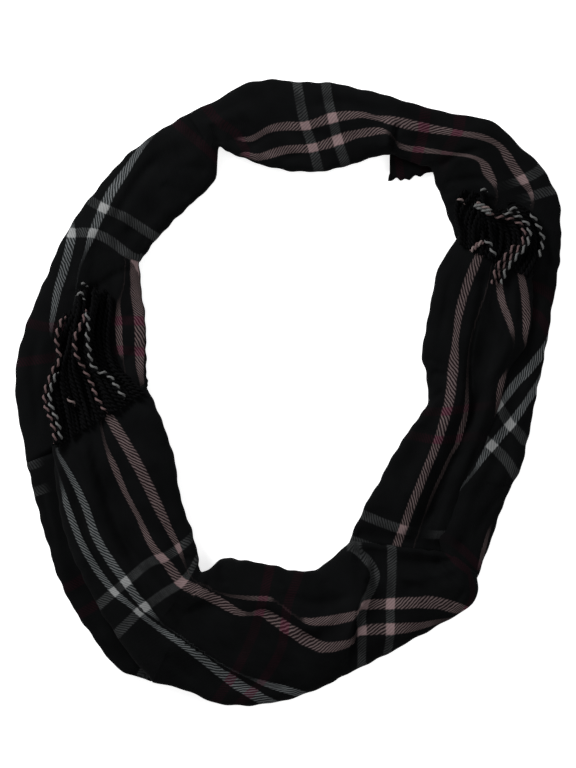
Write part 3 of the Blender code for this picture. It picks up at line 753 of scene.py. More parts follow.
def crease_height(creases, plan):
    """What the strokes add at each place of the plan."""
    total = np.zeros(len(plan))
    for crease in creases:
        line = dense_line(crease.points)
        reach = crease.spread * STROKE_REACH
        near = np.nonzero(((plan > line.min(0) - reach) & (plan < line.max(0) + reach)).all(1))[0]
        if len(near) == 0:
            continue
        offsets = plan[near][:, None, :] - line[None, :, :]
        squared = (offsets ** 2).sum(2)
        nearest = squared.argmin(1)
        distance = np.sqrt(squared.min(1))
        offset = offsets[np.arange(len(near)), nearest]
        tangent = np.gradient(line, axis=0)[nearest]
        left = tangent[:, 0] * offset[:, 1] - tangent[:, 1] * offset[:, 0] > 0
        share = nearest / (len(line) - 1)
        fade = smooth_step(CREASE_FADE * np.minimum(share, 1 - share))
        height = crease.depth * np.exp(-(distance / crease.spread) ** 2)
        if crease.lap:
            signed = np.where(left, distance, -distance) * math.copysign(1.0, crease.lap)
            step = 0.5 + 0.5 * np.tanh(signed / LAP_EDGE)
            raised = step * np.exp(-np.maximum(signed, 0.0) / (LAP_HIGH * crease.spread))
            sunken = (1 - step) * np.exp(np.minimum(signed, 0.0) / (LAP_LOW * crease.spread))
            height = LAP_STROKE * height + abs(crease.lap) * (raised - LAP_TROUGH * sunken)
        total[near] += CREASE_DEPTH * height * fade
    return total


print("laps step up over", LAP_EDGE, "mm")

# %% Ripples
Ripple = namedtuple("Ripple", "length heading height start")
RIPPLES = [
    Ripple(23.0, 0.9, 0.30, 0.4),
    Ripple(37.0, 2.2, 0.30, 1.7),
    Ripple(15.0, 0.3, 0.13, 2.9),
    Ripple(61.0, 1.3, 0.45, 5.1),
]


SWERVE = 0.7                   # radians by which ripples swerve
SWERVE_X, SWERVE_Y = 43.0, 31.0   # mm of the plan for one radian of that swerve


def ripple_height(plan):
    """Slow unevenness all over the cloth."""
    total = np.zeros(len(plan))
    swerve = SWERVE * np.sin(plan[:, 1] / SWERVE_Y) + SWERVE * np.sin(plan[:, 0] / SWERVE_X)
    for wave in RIPPLES:
        along = plan[:, 0] * math.cos(wave.heading) + plan[:, 1] * math.sin(wave.heading)
        total += wave.height * np.sin(2 * math.pi * along / wave.length + wave.start + swerve)
    return total


print(len(RIPPLES), "ripples")

# %% [markdown]
# ## Where a stripe falls on the band
# The tables give places of the plan, and the cloth's material needs places on the cloth. So
# a band can say, for any place of the plan, how far along it and what share across it lies.

# %% A band and where places of the plan fall on it
RIM_WAVER = 0.3                # mm that each of two waves moves a rim in or out
QUICK_WAVER, SLOW_WAVER, WAVER_DRIFT = 2.3, 4.1, 19.0   # mm along the rim for one radian
OUTER_START, INNER_START = 0.4, 2.9
OUT_OF_SIGHT = 60.0            # mm past a rim beyond which a place isn't on the band
ROUTE_STEPS = 8                # places looked up between two points of a route
ALONG, ACROSS = 0, 1           # what a route can be put in order of


def rim_waver(run, start):
    """Small puckers along a rim."""
    quick = np.sin(run / QUICK_WAVER + start)
    slow = np.sin(run / SLOW_WAVER + 2 * start + np.sin(run / WAVER_DRIFT))
    return RIM_WAVER * (quick + slow)[:, None]


class Band:
    """One stretch of cloth as wound: its rows, layers and folds, and its sections."""

    def __init__(self, rows, layers, folds, creases, spacing=2.4):
        self.rows, self.layers, self.folds, self.creases = rows, layers, folds, creases
        self.places = section_places(rows, spacing)
        self.outer = rim_line(rows, "outer", self.places)
        self.inner = rim_line(rows, "inner", self.places)
        self.crown = crown_line(rows, self.places)
        self.run = distance_along((self.outer + self.inner) / 2)
        across = unit(self.inner - self.outer)
        self.outer -= across * rim_waver(self.run, OUTER_START)
        self.inner += across * rim_waver(self.run, INNER_START)
        self.across = self.inner - self.outer
        self.width = np.linalg.norm(self.across, axis=1)

    def locate(self, points):
        """For places of the plan: how far along, what share across, and which place it is."""
        points = np.asarray(points, float)[:, :2]
        offset = points[:, None, :] - self.outer[None]
        side = self.across[:, 0] * offset[:, :, 1] - self.across[:, 1] * offset[:, :, 0]
        share = (offset * self.across).sum(2) / self.width ** 2
        found = []
        for index in range(len(points)):
            turns = np.nonzero(side[index, :-1] * side[index, 1:] <= 0)[0]
            if len(turns) == 0:
                continue
            best = turns[np.abs(share[index, turns] - 0.5).argmin()]
            if (abs(share[index, best] - 0.5) - 0.5) * self.width[best] > OUT_OF_SIGHT:
                continue
            one, two = side[index, best], side[index, best + 1]
            blend = one / (one - two) if one != two else 0.0
            run = self.run[best] + (self.run[best + 1] - self.run[best]) * blend
            found.append((run, share[index, best] * (1 - blend)
                          + share[index, best + 1] * blend, index))
        return np.array(found)


def route_on(band, route, order):
    """A route's places on the band, put in order of one of them: how far along, what share
    across, and the route's third number there."""
    line = dense_line(route, ROUTE_STEPS)
    found = band.locate(line)
    found = found[np.argsort(found[:, order], kind="stable")]
    return found[:, ALONG], found[:, ACROSS], line[found[:, 2].astype(int), 2]


print("a route has", ROUTE_STEPS, "places from point to point")

# %% Lengthwise stripes along a band
STRIPE_HALF = 4.2              # half a stripe's width on the flat cloth, to its last fibres
HOLD = 4.0                     # mm that a stripe is held past its route's end, or to the next
STEEPEST = 1.2                 # widest slant that a stripe's width is corrected for
FAINTEST = 0.12                # a stripe folded to this share of its width can't be seen
LEAST_STEP = 0.3               # mm, so that no section counts as standing still


def seen_stretches(route):
    """Parts a route where None says that the stripe is folded out of sight."""
    stretches = [[]]
    for point in route:
        if point is None:
            stretches.append([])
        else:
            stretches[-1].append(point)
    return stretches


def stripe_marks(band, lengthwise):
    """For each seen stretch of a stripe: its place, and how far across and how wide it lies."""
    marks, past_ends = [], []
    for place, route in lengthwise.items():
        for stretch in seen_stretches(route):
            run, share, wide = route_on(band, stretch, ALONG)
            where = np.interp(band.run, run, share) * band.width
            width = np.interp(band.run, run, wide)
            drift = np.gradient(where) / np.maximum(np.gradient(band.run), LEAST_STEP)
            half = 0.5 * width * np.sqrt(1 + np.clip(drift, -STEEPEST, STEEPEST) ** 2)
            past_end = np.maximum(run[0] - band.run, band.run - run[-1])
            # Narrow stripes fade towards the ground: partly hidden in the fold, partly painted shade
            # for the crease they lie in.
            shown = smooth_step((width / STRIPE_HALF / 2 - FAINTEST) / 0.5)
            shown *= 1 - smooth_step(past_end / HOLD)
            marks.append((place, where, half, shown))
            past_ends.append(past_end)
    nearest = np.min(past_ends, axis=0)
    for mark, past_end in zip(marks, past_ends):
        mark[1][past_end > np.maximum(HOLD, nearest)] = np.nan
    return marks


print("a flat stripe is", 2 * STRIPE_HALF, "mm wide")

# %% Places across the cloth, round one section
APART = 0.02                   # mm that keeps edges in order where a stripe has no width


def places_across(marks, ring, top_across, top_around, around):
    """Round one section: the flat cloth's places across, and how much its stripes show, a fade that
    also paints shade into creases.
    """
    edges, seen = [], []
    for place, where, half, shown in marks:
        if not np.isnan(where[ring]):
            edges.append((where[ring] - half[ring], place + STRIPE_HALF))
            edges.append((where[ring] + half[ring], place - STRIPE_HALF))
            seen.append((place, shown[ring]))
    edges.sort(key=lambda edge: -edge[1])
    seen.sort()
    across = np.array([edge[0] for edge in edges])
    places = np.array([edge[1] for edge in edges])
    beyond = np.minimum(across - top_across[0], 0.0) + np.maximum(across - top_across[-1], 0.0)
    along = np.interp(across, top_across, top_around) + beyond
    along = np.maximum.accumulate(along + APART * np.arange(len(along)))
    found = np.interp(around, along, places)
    found += np.maximum(along[0] - around, 0.0) - np.maximum(around - along[-1], 0.0)
    stripes, shares = zip(*seen)
    return found, np.interp(found, stripes, shares)


print("edges at least", APART, "mm apart")

# %% Crosswise stripes over a band
COLUMNS = 41                   # columns across a band that hold the places along the cloth
COLUMN_SHARES = np.linspace(0.0, 1.0, COLUMNS)
RUN_APART = 0.01               # mm that keeps crosswise stripes in order
LEAST_STRETCH, MOST_STRETCH = 0.3, 3.0   # a column's length against the middle's


def places_along(band, crosswise):
    """For each section and column across: the flat cloth's place along it, and how much of a
    crosswise stripe shows there, a fade that also paints shade into creases. A route's third
    number says so, where it isn't all of it."""
    paths = band.outer[:, None, :] + COLUMN_SHARES[None, :, None] * band.across[:, None, :]
    steps = np.linalg.norm(np.gradient(paths, axis=0), axis=2)
    stretch = steps / np.maximum(np.gradient(band.run), LEAST_STEP)[:, None]
    knots, seen = [], []
    for place in sorted(crosswise):
        route = [(*point, 1.0)[:3] for point in crosswise[place]]
        run, share, shows = route_on(band, route, ACROSS)
        seen.append(np.interp(COLUMN_SHARES, share, shows))
        runs = np.interp(COLUMN_SHARES, share, run)
        rings = np.interp(runs, band.run, np.arange(len(band.run))).astype(int)
        local = np.clip(stretch[rings, np.arange(COLUMNS)], LEAST_STRETCH, MOST_STRETCH)
        slope = np.gradient(runs) * local / (band.width[rings] / (COLUMNS - 1))
        half = STRIPE_HALF * np.sqrt(1 + np.clip(slope, -STEEPEST, STEEPEST) ** 2) / local
        knots.append((place - STRIPE_HALF, runs - half))
        knots.append((place + STRIPE_HALF, runs + half))
    places = np.array([place for place, runs in knots])
    table = np.zeros((len(band.run), COLUMNS))
    shown = np.zeros((len(band.run), COLUMNS))
    for column in range(COLUMNS):
        runs = np.array([runs[column] for place, runs in knots])
        runs = np.maximum.accumulate(runs + RUN_APART * np.arange(len(runs)))
        before = np.maximum(runs[0] - band.run, 0.0)
        after = np.maximum(band.run - runs[-1], 0.0)
        table[:, column] = np.interp(band.run, runs, places) - before + after
        shares = [share[column] for share in seen]
        # A route's third number fades the stripe: partly where the cloth turns away, partly painted
        # shade in the crease.
        shown[:, column] = np.interp(table[:, column], sorted(crosswise), shares)
    return table, smooth_step(shown)


print(COLUMNS, "columns across a band")

# %% One section, once round
RIM_EASE = 6.0                 # mm from a rim in which creases fade
NARROW_EASE = 0.3              # the same for a narrow band, as a share of its width
RIM_RELIEF = 0.25              # share of them that is left at the rim
UNDER_INSET = 0.4              # mm from a rim's foot to the underside's first point


def section_line(band, ring, share, relief):
    """How far across and up each point of a section lies, and which points are its top."""
    width, crown, place = band.width[ring], band.crown[ring], band.places[ring]
    outer_in, outer_up = side_line(crown, band.layers, place, 0.0, width)
    inner_in, inner_up = side_line(crown, band.layers, place, INNER_TURN, width)
    top_across = share * width
    from_rim = np.minimum(top_across, width - top_across)
    inside = smooth_step(from_rim / min(RIM_EASE, NARROW_EASE * width))
    ease = RIM_RELIEF + (1 - RIM_RELIEF) * inside
    top_up = dome_height(crown, band.layers, share)
    top_up = top_up + fold_height(band.folds, place, share) + relief * ease
    top_up = np.maximum(top_up, LOWEST_TOP * crown)
    to_outer = np.linspace(width / 2, outer_in[0] + UNDER_INSET, UNDER_STEPS)
    to_middle = np.linspace(width - inner_in[0] - UNDER_INSET, width / 2, UNDER_STEPS)
    across = np.concatenate([to_outer, outer_in, top_across, (width - inner_in)[::-1],
                             to_middle])
    up = np.concatenate([0 * to_outer, outer_up, top_up, inner_up[::-1], 0 * to_middle])
    first = UNDER_STEPS + len(outer_in)
    return across, up, slice(first, first + len(share))


print("creases fade over the last", RIM_EASE, "mm")

# %% The band's points
def band_points(band, lengthwise, crosswise):
    """Points and cloth places of every section: arrays of sections by points round them."""
    marks = stripe_marks(band, lengthwise)
    along_table, cross_table = places_along(band, crosswise)
    share = top_shares()
    rings = len(band.places)
    tops = band.outer[:, None, :] + share[None, :, None] * band.across[:, None, :]
    plan = tops.reshape(-1, 2)
    relief = (crease_height(band.creases, plan) + ripple_height(plan)).reshape(rings, -1)
    points, cloth = [], []
    for ring in range(rings):
        across, up, top = section_line(band, ring, share, relief[ring])
        around = distance_along(np.column_stack([across, up]))
        direction = band.across[ring] / band.width[ring]
        plan_line = band.outer[ring] + across[:, None] * direction
        points.append(np.column_stack([plan_line, up]))
        v, length_shown_and_shade = places_across(marks, ring, across[top], around[top], around)
        column = np.clip(across / band.width[ring], 0, 1)
        u = np.interp(column, COLUMN_SHARES, along_table[ring])
        cross_shown_and_shade = np.interp(column, COLUMN_SHARES, cross_table[ring])
        cloth.append(np.column_stack([u, v, length_shown_and_shade, cross_shown_and_shade]))
    return np.array(points), np.array(cloth)


print("section points ready")

# %% [markdown]
# ## Ends, skin and thickness
# A band ends in one of two ways. A lip rounds over and closes, where the end of a stretch
# shows. A tuck runs on a little lower, where the end goes under its neighbour. The grid's
# edges are then merged into one skin, and a Solidify modifier gives it the cloth's thickness.

# %% Ends of a band
Ends = namedtuple("Ends", "first last")
LIP_REACH = 2.6                # mm that a soft lip overhangs
LIP_STEPS = 6
LIP_LEVEL = 0.80               # share of the crown at which the lip's edge lies
TUCK_REACH = 5.0               # mm that a hidden end goes on under its neighbour
TUCK_DROP = 0.94               # share of its height that a tuck keeps for each mm


def end_rings(points, cloth, forward, kind, crown):
    """More sections past one end. points and cloth are that end's last two sections."""
    step = (points[0] - points[1]).mean(0)
    step[2] = 0.0
    direction = unit(step)
    sign = 1.0 if forward else -1.0
    rings, places = [], []
    if kind == "tuck":
        for reach in (TUCK_REACH / 2, TUCK_REACH):
            ring = points[0] + direction * reach
            ring[:, 2] *= TUCK_DROP ** reach
            rings.append(ring)
            places.append(cloth[0] + np.array([sign * reach, 0.0, 0.0, 0.0]))
    else:
        level = LIP_LEVEL * crown
        for turn in np.linspace(0, math.pi / 2, LIP_STEPS + 1)[1:]:
            ring = points[0] + direction * LIP_REACH * math.sin(turn)
            ring[:, 2] = level + (points[0][:, 2] - level) * math.cos(turn)
            rings.append(ring)
            places.append(cloth[0] + np.array([sign * LIP_REACH * turn, 0.0, 0.0, 0.0]))
    return rings, places


def with_ends(band, points, cloth, ends):
    """The band's sections with those past both its ends."""
    head, head_cloth = end_rings(points[:2], cloth[:2], False, ends.first, band.crown[0])
    tail, tail_cloth = end_rings(points[:-3:-1], cloth[:-3:-1], True, ends.last, band.crown[-1])
    all_points = np.array(head[::-1] + list(points) + tail)
    all_cloth = np.array(head_cloth[::-1] + list(cloth) + tail_cloth)
    return all_points, all_cloth


print("a lip overhangs by", LIP_REACH, "mm")

# %% From points to a mesh
CLOTH_UV = "cloth"
# How much of each way's stripes shows: partly hidden in folds, partly painted shade in creases.
SHOWN = ("length_shown_and_shade", "cross_shown_and_shade")
WELD = 0.02                    # mm within which a seam's points become one


def grid_piece(name, points, cloth):
    """A mesh of one grid of points, in millimetres, with the cloth's places as its UV map."""
    rings, around = points.shape[:2]
    grid = bmesh.new()
    bmesh.ops.create_grid(grid, x_segments=around - 1, y_segments=rings - 1, size=1.0)
    mesh = mesh_from(grid, name)
    flat = points.reshape(-1, 3) * MM
    mesh.vertices.foreach_set("co", flat.ravel())
    corners = np.zeros(len(mesh.loops), int)
    mesh.loops.foreach_get("vertex_index", corners)
    layer = mesh.uv_layers.new(name=CLOTH_UV)
    cloth = cloth.reshape(-1, 4)
    layer.uv.foreach_set("vector", (cloth[:, :2] * MM)[corners].ravel())
    # Attributes that fade stripes in folds, painting shade into the creases.
    for column, shown in enumerate(SHOWN, 2):
        share = mesh.attributes.new(shown, "FLOAT", "POINT")
        share.data.foreach_set("value", cloth[:, column])
    return mesh


def close_tube(mesh, rings, around, ends):
    """Joins the grid's first and last columns, and each lip's points, into one closed skin."""
    skin = bmesh.new()
    skin.from_mesh(mesh)
    skin.verts.ensure_lookup_table()
    seam = [skin.verts[ring * around + side] for ring in range(rings) for side in (0, around - 1)]
    if ends.first == "lip":
        seam += skin.verts[:around]
    if ends.last == "lip":
        seam += skin.verts[(rings - 1) * around:]
    once_each = list(dict.fromkeys(seam))  # in a fixed order, as the weld depends on it
    bmesh.ops.remove_doubles(skin, verts=once_each, dist=WELD * MM)
    skin.faces.ensure_lookup_table()
    volume = skin.calc_volume(signed=True)
    if volume < 0:
        bmesh.ops.reverse_faces(skin, faces=skin.faces)
    skin.to_mesh(mesh)
    skin.free()
    mesh.polygons.foreach_set("use_smooth", [True] * len(mesh.polygons))


print("meshes carry", CLOTH_UV, *SHOWN)

# %% A band's piece
CLOTH_THICK = 1.4              # mm


def band_piece(name, band, lengthwise, crosswise, ends, paint):
    """A band as an object, and its flat size in metres: once round by its length."""
    points, cloth = band_points(band, lengthwise, crosswise)
    points, cloth = with_ends(band, points, cloth, ends)
    mesh = grid_piece(name, points, cloth)
    close_tube(mesh, points.shape[0], points.shape[1], ends)
    mesh.materials.append(paint)
    piece = add_object(name, mesh)
    solidify = piece.modifiers.new("thickness", "SOLIDIFY")
    solidify.thickness = CLOTH_THICK * MM
    solidify.offset = -1.0
    solidify.use_rim = True
    around = np.linalg.norm(np.diff(points, axis=1), axis=2).sum(1).mean()
    length = band.run[-1] + (LIP_REACH if "lip" in ends else 0.0)
    print(name, "triangles", 4 * len(mesh.polygons), "section", round(around), "length",
          round(length), "mm")
    return piece, (around * MM, length * MM)


print("cloth", CLOTH_THICK, "mm thick")

# %% [markdown]
# ## Cloth and yarn colours
# The twill's colours come from the cloth's own places, held in the UV map. A stripe is a
# distance from a repeating line. The coloured yarns show as slanting dashes, as twill does:
# the lengthwise yarns show where the crosswise ones don't, and where two stripes cross, both
# are coloured and the square looks solid. Two attributes fade a stripe that is folded away,
# and also paint shade into the creases where a stripe lies narrowed.

# %% Node helpers
class Paint:
    """A material and short ways to add maths and mixes to it."""

    def __init__(self, name):
        self.material = bpy.data.materials.new(name)
        self.material.use_nodes = True
        self.tree = self.material.node_tree
        self.shader = self.tree.nodes["Principled BSDF"]

    def node(self, kind, **settings):
        node = self.tree.nodes.new(kind)
        for setting, value in settings.items():
            setattr(node, setting, value)
        return node

    def put(self, socket, value):
        if isinstance(value, bpy.types.NodeSocket):
            self.tree.links.new(value, socket)
        else:
            socket.default_value = value

    def math(self, operation, *values, clamp=False):
        node = self.node("ShaderNodeMath", operation=operation, use_clamp=clamp)
        for socket, value in zip(node.inputs, values):
            self.put(socket, value)
        return node.outputs[0]

    def mix(self, share, first, second):
        node = self.node("ShaderNodeMix", data_type="RGBA")
        self.put(node.inputs["Factor"], share)
        self.put(node.inputs["A"], (*first, 1.0) if isinstance(first, tuple) else first)
        self.put(node.inputs["B"], (*second, 1.0) if isinstance(second, tuple) else second)
        return node.outputs["Result"]

    def noise(self, vector, scale, detail=2.0):
        node = self.node("ShaderNodeTexNoise")
        self.put(node.inputs["Vector"], vector)
        set_inputs(node, {"Scale": scale, "Detail": detail})
        return node.outputs["Fac"]

    def scaled(self, colour, share):
        node = self.node("ShaderNodeVectorMath", operation="SCALE")
        self.put(node.inputs[0], colour)
        self.put(node.inputs["Scale"], share)
        return node.outputs[0]


print("paint helpers ready")

# %% Colours of the check
GROUND = (0.0030, 0.0032, 0.0034)
PINK = (0.112, 0.083, 0.082)
PINK_SHADE = (0.0115, 0.0080, 0.0086)
WHITE = (0.100, 0.107, 0.110)
WHITE_SHADE = (0.0105, 0.0115, 0.0120)
GREY = (0.034, 0.0355, 0.036)
GREY_SHADE = (0.0062, 0.0066, 0.0068)
MAROON = (0.0090, 0.0034, 0.0048)
MAROON_SHADE = (0.0036, 0.0030, 0.0033)
PINK_ON_GREY = (0.225, 0.158, 0.160)
WHITE_ON_GREY = (0.235, 0.240, 0.240)
PINK_ON_MAROON = (0.100, 0.042, 0.056)
WHITE_ON_MAROON = (0.085, 0.060, 0.070)
MAROON_GAP = (0.030, 0.0070, 0.0125)
print("pink", PINK, "and white", WHITE)

# %% Stripes in the material
PAIR_SPACING = 95.0            # mm from one pair of stripes to the next, both ways
IN_A_PAIR = 20.0               # mm between the two stripes of a pair
PINK_PAIR = 55.0               # a pink pair's place across the cloth
WHITE_PAIR = 150.0
GREY_PAIR = 140.0              # a grey pair's place along the cloth
FIRST_CROSSING, LAST_CROSSING = 100.0, 1800.0
HATCH_ALONG, HATCH_ACROSS = 3.4, 2.3   # mm from dash to dash
STRIPE_CORE = 3.55             # half the width in which a stripe has most of its colour
STRIPE_EDGE = 1.1              # how much of its colour comes with each mm inwards


def stripe(paint, place, middle_of_pair, fray):
    """1 inside a stripe of a pair, from its distance to the nearest stripe's middle."""
    from_pair = paint.math("SUBTRACT", place, middle_of_pair)
    folded = paint.math("PINGPONG", from_pair, PAIR_SPACING / 2)
    distance = paint.math("ABSOLUTE", paint.math("SUBTRACT", folded, IN_A_PAIR / 2))
    inside = paint.math("SUBTRACT", paint.math("ADD", STRIPE_CORE, fray), distance)
    return paint.math("MULTIPLY_ADD", inside, STRIPE_EDGE, 0.5, clamp=True)


def is_colour(paint, place, middle, pairs):
    """1 round each pair of one colour, which comes back after so many pairs."""
    from_pair = paint.math("SUBTRACT", place, middle)
    folded = paint.math("PINGPONG", from_pair, pairs * PAIR_SPACING / 2)
    return paint.math("LESS_THAN", folded, PAIR_SPACING / 2)


print("pairs stand", PAIR_SPACING, "mm apart")

# %% Both ways' stripes
FRAY_SCALE, FRAY = 700.0, 1.2  # noise that frays a stripe's edges, and over how many mm


def shown_stripes(paint, uv, along, across):
    """How much of a lengthwise and of a crosswise stripe shows: hidden in folds, and darkened as
    painted shade in creases.
    """
    fray = paint.math("MULTIPLY_ADD", paint.noise(uv, FRAY_SCALE), FRAY, -FRAY / 2)
    lengthwise = stripe(paint, across, PINK_PAIR, fray)
    crosswise = stripe(paint, along, GREY_PAIR, fray)
    started = paint.math("GREATER_THAN", along, FIRST_CROSSING)
    going_on = paint.math("LESS_THAN", along, LAST_CROSSING)
    crosswise = paint.math("MULTIPLY", crosswise, paint.math("MULTIPLY", started, going_on))
    length_shown_and_shade = paint.node("ShaderNodeAttribute", attribute_name=SHOWN[0]).outputs["Fac"]
    cross_shown_and_shade = paint.node("ShaderNodeAttribute", attribute_name=SHOWN[1]).outputs["Fac"]
    # Stripes fade where folded: partly hidden, partly painted shade in creases.
    lengthwise = paint.math("MULTIPLY", lengthwise, length_shown_and_shade)
    crosswise = paint.math("MULTIPLY", crosswise, cross_shown_and_shade)
    return lengthwise, crosswise


WANDER_SCALE, WANDER = 160.0, 1.1   # noise that bends the rows of dashes
DASH_LEVEL, DASH_EDGE = 0.29, 5.0   # where a dash begins on its wave, and how sharply
PATCH_SCALE, PATCH = 55.0, 2.2      # noise that opens the gaps in patches


def weave(paint, uv, slant):
    """Dashes where lengthwise yarns show, and gaps between them where crosswise ones do."""
    wander = paint.math("MULTIPLY_ADD", paint.noise(uv, WANDER_SCALE), WANDER, slant)
    wave = paint.math("PINGPONG", wander, 0.5)
    dash = paint.math("MULTIPLY_ADD", paint.math("SUBTRACT", wave, DASH_LEVEL), DASH_EDGE, 0.5,
                      clamp=True)
    patchy = paint.math("MULTIPLY_ADD", paint.noise(uv, PATCH_SCALE), PATCH, -0.35, clamp=True)
    gap = paint.math("MULTIPLY", paint.math("SUBTRACT", 1.0, dash), patchy)
    return dash, gap


print("dashes every", HATCH_ALONG, "mm along the cloth")

# %% Colour of the check
OPEN_WEAVE = 0.72              # how much less the gaps show where grey stripes cross


def check_colour(paint, stripes, dash, gap, is_white, is_grey):
    """The ground, the stripes on it and the squares where two stripes cross."""
    lengthwise, crosswise = stripes
    length_yarn = paint.mix(is_white, PINK, WHITE)
    length_shade = paint.mix(is_white, PINK_SHADE, WHITE_SHADE)
    cross_yarn = paint.mix(is_grey, MAROON, GREY)
    cross_shade = paint.mix(is_grey, MAROON_SHADE, GREY_SHADE)
    length_colour = paint.mix(dash, length_shade, length_yarn)
    cross_colour = paint.mix(gap, cross_shade, cross_yarn)
    on_grey = paint.mix(is_white, PINK_ON_GREY, WHITE_ON_GREY)
    on_maroon = paint.mix(is_white, PINK_ON_MAROON, WHITE_ON_MAROON)
    square = paint.mix(is_grey, on_maroon, on_grey)
    under = paint.mix(is_grey, MAROON_GAP, length_shade)
    open_weave = paint.math("MULTIPLY_ADD", is_grey, -OPEN_WEAVE, 1.0)
    square_gap = paint.math("MULTIPLY", paint.math("SUBTRACT", 1.0, dash), open_weave)
    square = paint.mix(square_gap, square, under)
    colour = paint.mix(crosswise, GROUND, cross_colour)
    colour = paint.mix(lengthwise, colour, length_colour)
    return paint.mix(paint.math("MULTIPLY", lengthwise, crosswise), colour, square)


print("ground", GROUND)

# %% Check cloth
FLUFF_SCALE, MOTTLE_SCALE = 2600.0, 42.0   # fine and broad unevenness of the colour
GRAIN_SCALE = 1500.0           # the finest relief
RIB_SHARE = 0.3                # the ribs' part in the relief


def check_paint():
    """The cloth's material: its colour, a little uneven all over, and its ribs."""
    paint = Paint("check_cloth")
    uv = paint.node("ShaderNodeUVMap", uv_map=CLOTH_UV).outputs["UV"]
    parts = paint.node("ShaderNodeSeparateXYZ")
    paint.put(parts.inputs[0], uv)
    along = paint.math("MULTIPLY", parts.outputs["X"], 1000.0)
    across = paint.math("MULTIPLY", parts.outputs["Y"], 1000.0)
    stripes = shown_stripes(paint, uv, along, across)
    is_white = is_colour(paint, across, WHITE_PAIR, 3)
    is_grey = is_colour(paint, along, GREY_PAIR, 2)
    slant = paint.math("ADD", paint.math("DIVIDE", along, HATCH_ALONG),
                       paint.math("DIVIDE", across, HATCH_ACROSS))
    dash, gap = weave(paint, uv, slant)
    colour = check_colour(paint, stripes, dash, gap, is_white, is_grey)
    fluff = paint.noise(uv, FLUFF_SCALE, 3.0)
    mottle = paint.math("MULTIPLY_ADD", paint.noise(uv, MOTTLE_SCALE, 3.0), 1.0, 0.42)
    fluff = paint.math("MULTIPLY", paint.math("MULTIPLY_ADD", fluff, 1.0, 0.5), mottle)
    paint.put(paint.shader.inputs["Base Color"], paint.scaled(colour, fluff))

    ridge = paint.math("SINE", paint.math("MULTIPLY", slant, 4 * math.pi))
    relief = paint.math("ADD", paint.math("MULTIPLY", ridge, RIB_SHARE),
                        paint.noise(uv, GRAIN_SCALE, 3.0))
    bump = paint.node("ShaderNodeBump")
    set_inputs(bump, {"Strength": 0.5, "Distance": 0.35 * MM})
    paint.put(bump.inputs["Height"], relief)
    paint.put(paint.shader.inputs["Normal"], bump.outputs["Normal"])
    set_inputs(paint.shader, {
        "Roughness": 0.9,
        "Specular IOR Level": 0.012,
        "Sheen Weight": 0.004,
        "Sheen Roughness": 0.6,
    })
    return paint.material


cloth_paint = check_paint()
print(len(cloth_paint.node_tree.nodes), "nodes in the cloth's material")

# %% Yarn
YARNS = {
    "black_yarn": (0.0025, 0.0025, 0.0027),
    "pink_yarn": (0.090, 0.060, 0.060),
    "white_yarn": (0.095, 0.096, 0.095),
    "pale_pink_yarn": (0.140, 0.108, 0.104),
}


def yarn_paint(name, colour):
    paint = Paint(name)
    place = paint.node("ShaderNodeTexCoord").outputs["Object"]
    fluff = paint.math("MULTIPLY_ADD", paint.noise(place, 2200.0, 3.0), 0.8, 0.6)
    paint.put(paint.shader.inputs["Base Color"], paint.scaled(colour, fluff))
    set_inputs(paint.shader, {"Roughness": 0.9, "Specular IOR Level": 0.01})
    return paint.material


yarn_paints = {name: yarn_paint(name, colour) for name, colour in YARNS.items()}
print(len(yarn_paints), "yarns")

# %% [markdown]
# ## The wound cloth
# Three long stretches show: the left end with the bottom, the turn that runs up the right
# side, over the top and down the left, and the right end. A narrow rim of the turn below
# shows outside the left end, and a corner of the selvage hangs out of the top's tuck.

# %% Left end and bottom
lower = Band(LEFT_END + BOTTOM[1:], 3,
             LEFT_END_FOLDS + moved_on(BOTTOM_FOLDS, len(LEFT_END) - 1), LOWER_CREASES)
lower_cloth, lower_flat = band_piece("wound_lower_stretch", lower, LOWER_LENGTHWISE,
                                     LOWER_CROSSWISE, Ends("lip", "lip"), cloth_paint)
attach(lower_cloth, "root")
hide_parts("left_end_stretch", "bottom_stretch")

# %% The turn: right side, top, left side
turn_rows = RIGHT_OUTER[::-1] + TOP[1:] + LEFT_OUTER[1:]
turn_folds = (turned_round(RIGHT_OUTER_FOLDS, RIGHT_OUTER)
              + moved_on(TOP_FOLDS, len(RIGHT_OUTER) - 1)
              + moved_on(LEFT_OUTER_FOLDS, len(RIGHT_OUTER) + len(TOP) - 2))
turn = Band(turn_rows, 2, turn_folds, TURN_CREASES, spacing=2.8)
turn_cloth, turn_flat = band_piece("wound_turn", turn, TURN_LENGTHWISE, TURN_CROSSWISE,
                                   Ends("tuck", "tuck"), cloth_paint)
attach(turn_cloth, "root")
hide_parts("right_outer_stretch", "top_stretch", "left_outer_stretch")

# %% Lower rim, right end and selvage flap
RIM_LENGTHWISE = {160: [(-172, -36, 8), (-168, -84, 8), (-152, -130, 8), (-128, -170, 8),
                        (-90, -205, 8)]}
rim = Band(LOWER_RIM, 2, LOWER_RIM_FOLDS, RIM_CREASES)
rim_cloth, rim_flat = band_piece("wound_lower_rim", rim, RIM_LENGTHWISE, RIM_CROSSWISE,
                                 Ends("tuck", "tuck"), cloth_paint)
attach(rim_cloth, "root")
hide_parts("lower_rim_stretch")

end = Band(RIGHT_END, 3, RIGHT_END_FOLDS, END_CREASES)
end_cloth, end_flat = band_piece("wound_right_end", end, END_LENGTHWISE, END_CROSSWISE,
                                 Ends("tuck", "lip"), cloth_paint)
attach(end_cloth, "root")
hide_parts("right_end_stretch")

